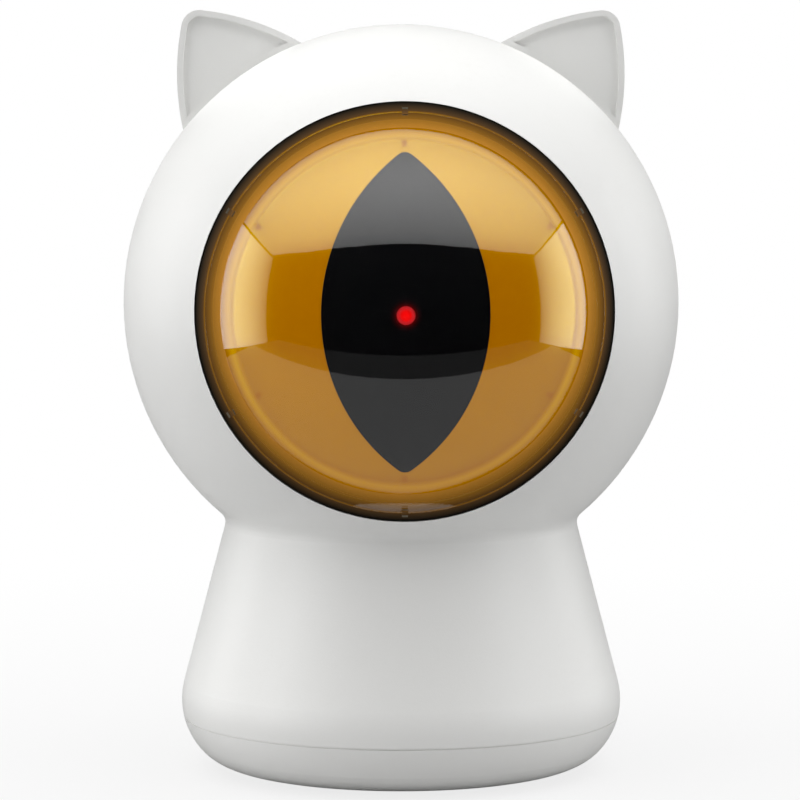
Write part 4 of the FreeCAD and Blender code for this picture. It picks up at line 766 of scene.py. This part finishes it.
# %% [markdown]
# ## The eye's axis and round profiles
#
# A tree turns a piece about the Z axis, but the eye looks forward. A matrix takes a turned
# piece to the eye's axis. The profile of a ball is an arc, given by angles from that axis.

# %% The axis and an arc
TO_EYE = Matrix.Translation(HEAD) @ Matrix.Rotation(math.radians(90), 4, "X")


def arc(radius, start, end, steps):
    """Points of an arc in the profile plane, by angle from the axis, in degrees."""
    angles = [math.radians(start + (end - start) * step / steps) for step in range(steps + 1)]
    return [(radius * math.sin(angle), 0.0, radius * math.cos(angle)) for angle in angles]


# %% [markdown]
# ## The dome, turned again
#
# A mirror shows every flat, so the dome is turned with many steps. Its outside is the head's
# own ball. The wall is drawn thin, so that the two faces of the acrylic do not show the soft
# boxes twice, and its cut edge is chamfered.

# %% Turn the dome
DOME_WALL = 0.0004
DOME_LIP = 0.0004
DOME_STEPS, DOME_ROWS = 192, 48


def turn_dome():
    """A cap between two arcs about the head's centre, with a small chamfer at its edge."""
    inner = HEAD_RADIUS - DOME_WALL
    reach = math.degrees(math.asin(DOME_RIM / HEAD_RADIUS))
    inner_reach = math.degrees(math.asin((DOME_RIM - DOME_LIP) / inner))
    profile = arc(HEAD_RADIUS, 0.0, reach, DOME_ROWS) + arc(inner, inner_reach, 0.0, DOME_ROWS)
    piece = chain("dome", profile)
    run_tree(piece, LATHE, place=TO_EYE, Steps=DOME_STEPS, Finish=FINISHES["dome_clear"])
    return stand_for(piece, "housing", "dome_clear", "dome_lens")


turn_dome()


# %% [markdown]
# ## Catches round the window
#
# Six small catches of the bezel hook over the dome's edge, one every sixty degrees. Copied by
# hand, they would have to be moved one by one when the window changes. So a tree sets points on
# a circle, stands a little bar on each and turns it to face the middle.

# %% The catch tree
def catch_tree():
    tree, ins, outs = new_group("Catches", "GeometryNodeTree", [
        ("Geometry", "INPUT", SHAPE, None),
        ("Count", "INPUT", WHOLE, 6),
        ("Ring Radius", "INPUT", FLOAT, 0.038),
        ("Length", "INPUT", FLOAT, 0.001),
        ("Width", "INPUT", FLOAT, 0.001),
        ("Thickness", "INPUT", FLOAT, 0.0003),
        ("Finish", "INPUT", PAINT, None),
        ("Catches", "OUTPUT", SHAPE, None),
    ])
    ring = add(tree, "GeometryNodeMeshCircle")
    fill(ring, Vertices=ins.outputs["Count"], Radius=ins.outputs["Ring Radius"])
    size = vector_of(tree, X=ins.outputs["Length"], Y=ins.outputs["Width"],
                     Z=ins.outputs["Thickness"])
    bar = fill(add(tree, "GeometryNodeMeshCube"), Size=size)
    face = add(tree, "FunctionNodeAlignRotationToVector", axis="X")
    fill(face, Vector=add(tree, "GeometryNodeInputPosition").outputs[0])
    stand = add(tree, "GeometryNodeInstanceOnPoints")
    fill(stand, Points=ring.outputs["Mesh"], Instance=bar.outputs["Mesh"],
         Rotation=face.outputs["Rotation"])
    finish_tree(tree, stand.outputs[0], ins, outs, "Catches")
    return tree


CATCHES = catch_tree()
CATCH = plastic("catch_plastic", (0.13, 0.11, 0.075), (0.2, 0.18, 0.14), 0.4, 0.55)
CATCH_GAP = 0.0001


def set_catches():
    piece = chain("bezel_catches", [(0.0, 0.0, 0.0)], joined=False)
    ring = DOME_RIM - CATCH_GAP
    depth = math.sqrt(HEAD_RADIUS ** 2 - ring ** 2) + CATCH_GAP
    place = TO_EYE @ Matrix.Translation((0, 0, depth)) @ Matrix.Rotation(math.radians(90), 4, "Z")
    run_tree(piece, CATCHES, place=place, Ring_Radius=ring, Length=0.0016, Width=0.0011,
             Thickness=0.0004, Finish=CATCH)
    return stand_for(piece, "housing", "bezel_dark")


set_catches()


# %% [markdown]
# ## Screws
#
# All the screws are small pan heads with a cross recess, set in groups that share a direction.
# One tree builds the screw from named sizes: a head whose top ring is drawn in, a cross cut
# out of it, and a shank with a thread wound round it. It then sets a copy on every point of
# the piece.

# %% Draw in and shift a shape
def drawn_in(tree, shape, above, share):
    """Scales the ring of points above a height towards the axis."""
    place = add(tree, "GeometryNodeInputPosition").outputs[0]
    chosen = add(tree, "FunctionNodeCompare", data_type="FLOAT", operation="GREATER_THAN")
    put(chosen.inputs[0], parts_of(tree, place)["Z"])
    put(chosen.inputs[1], above)
    moved = add(tree, "GeometryNodeSetPosition")
    fill(moved, Geometry=shape, Selection=chosen.outputs[0],
         Position=vector_math(tree, "MULTIPLY", place, (share, share, 1.0)))
    return moved.outputs[0]


def shifted(tree, shape, height):
    """The shape, moved along its axis."""
    moved = add(tree, "GeometryNodeTransform")
    return fill(moved, Geometry=shape, Translation=vector_of(tree, Z=height)).outputs[0]


# %% The screw's head
def screw_head(tree, ins):
    radius, height = ins.outputs["Head Radius"], ins.outputs["Head Height"]
    drum = add(tree, "GeometryNodeMeshCylinder")
    fill(drum, Vertices=32, Side_Segments=3, Radius=radius, Depth=height)
    top = drawn_in(tree, drum.outputs["Mesh"], plain_math(tree, "MULTIPLY", height, 0.45), 0.8)
    slots = add(tree, "GeometryNodeJoinGeometry")
    across = plain_math(tree, "MULTIPLY", radius, 1.05)
    narrow = plain_math(tree, "MULTIPLY", radius, 0.22)
    for length, width in ((across, narrow), (narrow, across)):
        bar = add(tree, "GeometryNodeMeshCube")
        fill(bar, Size=vector_of(tree, X=length, Y=width, Z=height))
        lifted = shifted(tree, bar.outputs["Mesh"], plain_math(tree, "MULTIPLY", height, 0.45))
        tree.links.new(lifted, slots.inputs[0])
    cut = add(tree, "GeometryNodeMeshBoolean", operation="DIFFERENCE", solver="EXACT")
    fill(cut, Mesh_1=top, Mesh_2=slots.outputs[0], Self_Intersection=True)
    return shifted(tree, cut.outputs["Mesh"], plain_math(tree, "MULTIPLY", height, 0.5))


# %% The screw's shank and thread
def screw_shank(tree, ins):
    radius, length = ins.outputs["Shank Radius"], ins.outputs["Length"]
    core = plain_math(tree, "MULTIPLY", radius, 0.86)
    rod = add(tree, "GeometryNodeMeshCylinder")
    fill(rod, Vertices=16, Side_Segments=6, Radius=core, Depth=length)
    threaded = plain_math(tree, "MULTIPLY", length, 0.86)
    wound = add(tree, "GeometryNodeCurveSpiral")
    fill(wound, Resolution=14, Start_Radius=core, End_Radius=core, Height=threaded,
         Rotations=plain_math(tree, "DIVIDE", threaded, ins.outputs["Pitch"]))
    ridge = add(tree, "GeometryNodeCurvePrimitiveCircle")
    fill(ridge, Resolution=4, Radius=plain_math(tree, "SUBTRACT", radius, core))
    thread = add(tree, "GeometryNodeCurveToMesh")
    fill(thread, Curve=wound.outputs["Curve"], Profile_Curve=ridge.outputs["Curve"],
         Fill_Caps=True)
    down = plain_math(tree, "MULTIPLY", length, -0.5)
    low = plain_math(tree, "MULTIPLY", length, -0.95)
    return shifted(tree, rod.outputs["Mesh"], down), shifted(tree, thread.outputs[0], low)


# %% The whole screw
def screw_tree():
    tree, ins, outs = new_group("Screws", "GeometryNodeTree", [
        ("Places", "INPUT", SHAPE, None),
        ("Head Radius", "INPUT", FLOAT, 0.0024),
        ("Head Height", "INPUT", FLOAT, 0.0016),
        ("Shank Radius", "INPUT", FLOAT, 0.00115),
        ("Length", "INPUT", FLOAT, 0.008),
        ("Pitch", "INPUT", FLOAT, 0.0008),
        ("Finish", "INPUT", PAINT, None),
        ("Screws", "OUTPUT", SHAPE, None),
    ])
    whole = add(tree, "GeometryNodeJoinGeometry")
    for part in (screw_head(tree, ins), *screw_shank(tree, ins)):
        tree.links.new(part, whole.inputs[0])
    stand = add(tree, "GeometryNodeInstanceOnPoints")
    fill(stand, Points=ins.outputs["Places"], Instance=whole.outputs[0])
    finish_tree(tree, stand.outputs[0], ins, outs, "Screws")
    return tree


SCREWS = screw_tree()
print("tree:", SCREWS.name)


# %% [markdown]
# ## Set the screws where the solids have them
#
# The solid screws are loose groups of points. Their heads' centres and their length are
# measured on them, so that the dressed screws stand exactly where the plain ones stood.

# %% Measure the screws
def screw_spots(node, axis, across):
    """Centres of the screws of a node in its plane across the axis, and its reach along it."""
    points = [vertex.co for vertex in nodes[node].data.vertices]
    along = [point @ axis for point in points]
    low, high = min(along), max(along)
    found = []
    for point in points:
        flat = point - axis * (point @ axis)
        for spot in found:
            if (spot["sum"] / spot["count"] - flat).length < across:
                spot["sum"] += flat
                spot["count"] += 1
                break
        else:
            found.append({"sum": flat.copy(), "count": 1})
    guesses = [spot["sum"] / spot["count"] for spot in found]
    return [middle_of(points, axis, guess, across) for guess in guesses], low, high


def middle_of(points, axis, guess, across):
    """The middle of the box round the points near a guess, across the axis."""
    near = [flat for flat in (point - axis * (point @ axis) for point in points)
            if (flat - guess).length < across]
    low = Vector([min(flat[k] for flat in near) for k in range(3)])
    high = Vector([max(flat[k] for flat in near) for k in range(3)])
    return (low + high) / 2


# %% Set the screws
HEAD_HEIGHT = 0.0016
SCREW_REACH = 0.0035


def set_screws(node, body, towards):
    """Sets one group; towards is the way that the heads face."""
    axis = Vector(towards).normalized()
    spots, low, high = screw_spots(node, axis, SCREW_REACH)
    place = axis.to_track_quat("Z", "Y").to_matrix().to_4x4()
    back = place.inverted()
    seats = [back @ (spot + axis * (high - HEAD_HEIGHT)) for spot in spots]
    piece = chain(f"{node}_dressed", seats, joined=False)
    run_tree(piece, SCREWS, place=place, Length=high - low - HEAD_HEIGHT,
             Finish=FINISHES["steel"])
    stand_for(piece, body, "steel", node)
    print(f"  {len(spots)} screws, {(high - low) * 1000:.1f} mm long")


PANEL_LEAN = math.radians(14.8)
set_screws("case_screws", "housing", (0, 1, 0))
set_screws("base_screws", "housing", (0, 0, -1))
set_screws("chassis_screws", "housing", (0, -1, 0))
set_screws("carrier_screws", "eyeball", (0, 1, 0))
set_screws("board_screws", "housing", (0, -math.cos(PANEL_LEAN), -math.sin(PANEL_LEAN)))


# %% [markdown]
# ## Rubber feet
#
# Each foot is a soft disc with two raised rings that grip the table. One foot is turned on the
# lathe, and a tree then sets copies of it on the four corners, so that all four stay alike.

# %% A tree that sets out copies
def set_out_tree():
    tree, ins, outs = new_group("Set Out", "GeometryNodeTree", [
        ("Places", "INPUT", SHAPE, None),
        ("Pattern", "INPUT", "NodeSocketObject", None),
        ("Finish", "INPUT", PAINT, None),
        ("Copies", "OUTPUT", SHAPE, None),
    ])
    pattern = add(tree, "GeometryNodeObjectInfo", transform_space="ORIGINAL")
    fill(pattern, Object=ins.outputs["Pattern"])
    stand = add(tree, "GeometryNodeInstanceOnPoints")
    fill(stand, Points=ins.outputs["Places"], Instance=pattern.outputs["Geometry"])
    finish_tree(tree, stand.outputs[0], ins, outs, "Copies")
    return tree


SET_OUT = set_out_tree()


# %% Turn a foot and set four
FOOT_RADIUS = 0.0045
GROOVE = 0.00035


def set_feet():
    _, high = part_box("rubber_feet")
    spread_out = high.x - FOOT_RADIUS
    profile = [(0.0, GROOVE), (0.0014, GROOVE), (0.0016, 0.0), (0.0022, 0.0), (0.0024, GROOVE),
               (0.0031, GROOVE), (0.0033, 0.0), (0.0041, 0.0), (FOOT_RADIUS, 0.0004),
               (FOOT_RADIUS, high.z), (0.0, high.z)]
    pattern = chain("foot_pattern", [(x, 0.0, z) for x, z in profile])
    run_tree(pattern, LATHE, Steps=48, Finish=FINISHES["foot_rubber"])
    places = [(x * spread_out, y * spread_out, 0.0) for x in (-1, 1) for y in (-1, 1)]
    piece = chain("feet", places, joined=False)
    run_tree(piece, SET_OUT, Pattern=pattern, Finish=FINISHES["foot_rubber"])
    bpy.data.objects.remove(pattern)
    return stand_for(piece, "housing", "foot_rubber", "rubber_feet")


set_feet()


# %% [markdown]
# ## A small studio
#
# The toy stands on a pale floor in a light tent: a wide sheet above, one at each side, and an
# open front. The dome mirrors that opening as a dark pane with bright edges, so the sheets are
# placed by the direction in which the dome sees them. A real soft box is brightest in its
# middle, so each corner of a mirrored sheet carries its share of the light. The sheets give all
# the light but a little fill from the world, and the camera does not see them.

# %% A lamp's face
def clear_behind(tree, face):
    """Shows the face on the front of a sheet and nothing on its back."""
    behind = add(tree, "ShaderNodeNewGeometry").outputs["Backfacing"]
    clear = add(tree, "ShaderNodeBsdfTransparent").outputs[0]
    return mix_shaders(tree, behind, face, clear)


def glow(name, strength, graded=False, upwards=False):
    """A lamp's face. A graded one is dimmer where its mesh says so, as a soft box is, and one
    that only shines upwards is clear from below."""
    material = bpy.data.materials.new(name)
    material.use_nodes = True
    tree = material.node_tree
    tree.nodes.clear()
    if graded:
        share = add(tree, "ShaderNodeAttribute", attribute_name="share").outputs["Fac"]
        strength = plain_math(tree, "MULTIPLY", plain_math(tree, "POWER", share, 0.6), strength)
    face = fill(add(tree, "ShaderNodeEmission"), Strength=strength).outputs[0]
    if upwards:
        face = clear_behind(tree, face)
    fill(add(tree, "ShaderNodeOutputMaterial"), Surface=face)
    return material


# %% Hang a sheet in the tent
RAYS = ("camera", "diffuse", "glossy", "transmission", "shadow")


def unseen_by(piece, *rays):
    """Hides a piece of the studio from some kinds of rays."""
    for ray in rays:
        setattr(piece, f"visible_{ray}", False)


def sheet_of_light(name, directions, strength, seen_by, shares=None):
    """A sheet with corners in these directions from the head, seen only by some of the rays.
    Shares say how bright each corner is, and the middle last."""
    start, reach = (HEAD, LAMPS) if "diffuse" in seen_by else (HEAD + DOME_FRONT, TENT)
    corners = [start + Vector(way).normalized() * reach for way in directions]
    middle = sum(corners, Vector()) / len(corners)
    count = len(corners)
    faces = [(index, (index + 1) % count, count) for index in range(count)]
    sheet = new_piece(name, corners + [middle], faces=faces)
    sheet.data.materials.append(glow(name, strength, bool(shares)))
    if shares:
        grades = sheet.data.attributes.new("share", "FLOAT", "POINT")
        grades.data.foreach_set("value", shares)
    unseen_by(sheet, *(ray for ray in RAYS if ray not in seen_by))


def other_side(directions):
    """The same directions, mirrored from right to left."""
    return [(-x, y, z) for x, y, z in directions]


# %% Place the sheets
TENT, LAMPS = 1.235, 1.3
DOME_FRONT = Vector((0.0, -0.037, 0.0))
FRONT_HALF = [(0.0, -0.894, 0.449), (0.33, -0.85, 0.425), (0.62, -0.71, 0.37),
              (0.799, -0.511, 0.317)]
REAR_HALF = [(0.869, -0.197, 0.457), (0.717, -0.204, 0.667), (0.513, -0.211, 0.832),
             (0.272, -0.215, 0.938), (0.0, -0.217, 0.976)]
FRONT_EDGE = other_side(FRONT_HALF[:0:-1]) + FRONT_HALF
REAR_EDGE = REAR_HALF + other_side(REAR_HALF[-2::-1])
SIDE_SHEET = [(0.83, -0.52, -0.225), (0.801, -0.521, 0.302), (0.875, -0.195, 0.443),
              (0.959, -0.186, 0.213), (0.984, -0.177, -0.042), (0.956, -0.17, -0.24)]
SIDE_SHEEN = [(0.88, 0.12, 0.44), (0.8, 0.6, 0.4), (0.8, 0.6, -0.1), (0.96, 0.12, -0.25)]
TOP_LAMP = [(-0.6, -0.5, 0.62), (0.6, -0.5, 0.62), (0.75, 0.1, 0.65), (0.6, 0.6, 0.62),
            (-0.6, 0.6, 0.62), (-0.75, 0.1, 0.65)]
SIDE_LAMP = [(0.6, -0.79, 0.0), (0.6, -0.79, 0.35), (0.93, -0.2, 0.5), (0.9, 0.4, 0.4),
             (0.9, 0.4, 0.0), (0.95, -0.2, -0.05)]

MIRRORS, SHEEN, MATT = ("glossy", "transmission"), ("glossy",), ("diffuse",)
TOP_SHARES = [0.24] * len(FRONT_EDGE) + [0.45] * len(REAR_EDGE) + [1.0]
SIDE_SHARES = [0.05, 0.05, 1.0, 1.0, 1.0, 1.0, 0.62]

sheet_of_light("tent_top", FRONT_EDGE + REAR_EDGE, 2.5, MIRRORS, TOP_SHARES)
for side, turned in (("right", SIDE_SHEET), ("left", other_side(SIDE_SHEET))):
    sheet_of_light(f"tent_side_{side}", turned, 3.35, MIRRORS, SIDE_SHARES)
for side, turned in (("right", SIDE_SHEEN), ("left", other_side(SIDE_SHEEN))):
    sheet_of_light(f"tent_sheen_{side}", turned, 1.6, SHEEN)
sheet_of_light("lamp_top", TOP_LAMP, 2.25, MATT)
sheet_of_light("lamp_right", SIDE_LAMP, 1.95, MATT)
sheet_of_light("lamp_left", other_side(SIDE_LAMP), 2.6, MATT)
print(f"mirrored sheets at {TENT} m, lamps at {LAMPS} m")


# %% [markdown]
# ## Floor and bounce
#
# The floor is a pale disc. The dome would mirror it right up to the horizon, so mirrors do not
# see the disc but a smaller board on it, with a dim strip in front where the tent's edge is out
# of focus. A card that only shines upwards stands for the light that the paper throws back.

# %% The paper of the floor
FADE_NEAR, FADE_FAR = 0.02, 0.34


def pale_floor():
    """Paper that the lamps light near the toy, and that fades to the white of the backdrop.
    From below it is clear, so that the underside of the toy can be looked at."""
    material, tree, shader = new_finish("floor_paper", IOR=1.4, Specular_IOR_Level=0.0)
    where = place_on_piece(tree)
    tone = spread(tree, noise_of(tree, where, 3.0).outputs["Fac"], 0.0, 1.0)
    colour = blend_colours(tree, tone.outputs["Result"], (0.6, 0.6, 0.6), (0.62, 0.62, 0.62))
    fill(shader, Base_Color=colour, Roughness=0.9)
    fade = add(tree, "ShaderNodeMapRange", interpolation_type="SMOOTHSTEP")
    fill(fade, Value=length_of(tree, where), From_Min=FADE_NEAR, From_Max=FADE_FAR, To_Min=0.8)
    seen = plain_math(tree, "MULTIPLY", fade.outputs["Result"],
                      add(tree, "ShaderNodeLightPath").outputs["Is Camera Ray"])
    backdrop = add(tree, "ShaderNodeEmission").outputs[0]
    mixed = mix_shaders(tree, seen, shader.outputs[0], backdrop)
    fill(only_one(tree, "OUTPUT_MATERIAL"), Surface=clear_behind(tree, mixed))
    return material


# %% Lay the floor and the cards
FLOOR_RADIUS = 1.6
FRONT_STEP = -0.205


def flat_piece(name, outline, height, material, *unseen):
    """A flat sheet of the studio, hidden from some kinds of rays."""
    piece = new_piece(name, [(x, y, height) for x, y in outline],
                      faces=[tuple(range(len(outline)))])
    piece.data.materials.append(material)
    unseen_by(piece, *unseen)
    return piece


def make_floor():
    turns = [turn * math.tau / 64 for turn in range(64)]
    ring = [(FLOOR_RADIUS * math.cos(turn), FLOOR_RADIUS * math.sin(turn)) for turn in turns]
    flat_piece("floor", ring, FLOOR, pale_floor(), "glossy", "transmission")
    board = [(-0.36, FRONT_STEP), (0.36, FRONT_STEP), (0.31, -0.092), (0.089, -0.058),
             (0.0, -0.052), (-0.089, -0.058), (-0.31, -0.092)]
    veil = [(-0.36, -0.31), (0.36, -0.31), (0.36, FRONT_STEP), (-0.36, FRONT_STEP)]
    for name, outline, strength in (("bounce_board", board, 0.5), ("bounce_veil", veil, 0.09)):
        flat_piece(name, outline, 0.0002, glow(name, strength), "camera", "diffuse", "shadow")
    card = [(-0.4, -0.6), (0.4, -0.6), (0.4, -0.08), (-0.4, -0.08)]
    flat_piece("front_card", card, 0.0004, glow("front_card", 0.4, upwards=True),
               "camera", "glossy", "transmission", "shadow")


make_floor()


# %% The world's fill light
def make_world():
    world = bpy.data.worlds.new("studio_world")
    bpy.context.scene.world = world
    world.use_nodes = True
    tree = world.node_tree
    tree.nodes.clear()
    dim, bright = (fill(add(tree, "ShaderNodeBackground"), Color=(1.0, 1.0, 1.0, 1.0),
                        Strength=strength).outputs[0] for strength in (0.02, 1.0))
    camera_ray = add(tree, "ShaderNodeLightPath").outputs["Is Camera Ray"]
    fill(add(tree, "ShaderNodeOutputWorld"), Surface=mix_shaders(tree, camera_ray, dim, bright))
    world.cycles_visibility.glossy = False
    world.cycles_visibility.transmission = False


make_world()


# %% [markdown]
# ## The camera
#
# The camera stands about seventy centimetres in front of the toy with a long lens, a little
# above the eye and looking slightly down, which keeps the proportions calm.

# %% Camera and colour
SENSOR_MM, LENS_MM = 36.0, 156.1
SHIFT = -0.00125
CAMERA_PLACE = Vector((-0.01265, -0.68905, 0.12645))
LOOKS_DOWN, LOOKS_RIGHT = 4.413, 1.05


def make_camera():
    lens = bpy.data.cameras.new("camera")
    lens.sensor_width = SENSOR_MM
    lens.lens = LENS_MM
    lens.shift_x = SHIFT
    camera = bpy.data.objects.new("camera", lens)
    bpy.context.scene.collection.objects.link(camera)
    camera.location = CAMERA_PLACE
    camera.rotation_euler = (math.radians(90 - LOOKS_DOWN), 0.0, math.radians(-LOOKS_RIGHT))
    bpy.context.scene.camera = camera
    view = bpy.context.scene.view_settings
    view.view_transform = "Standard"
    view.look = "None"


make_camera()
print(f"camera {CAMERA_PLACE.length:.2f} m away with a {LENS_MM} mm lens")
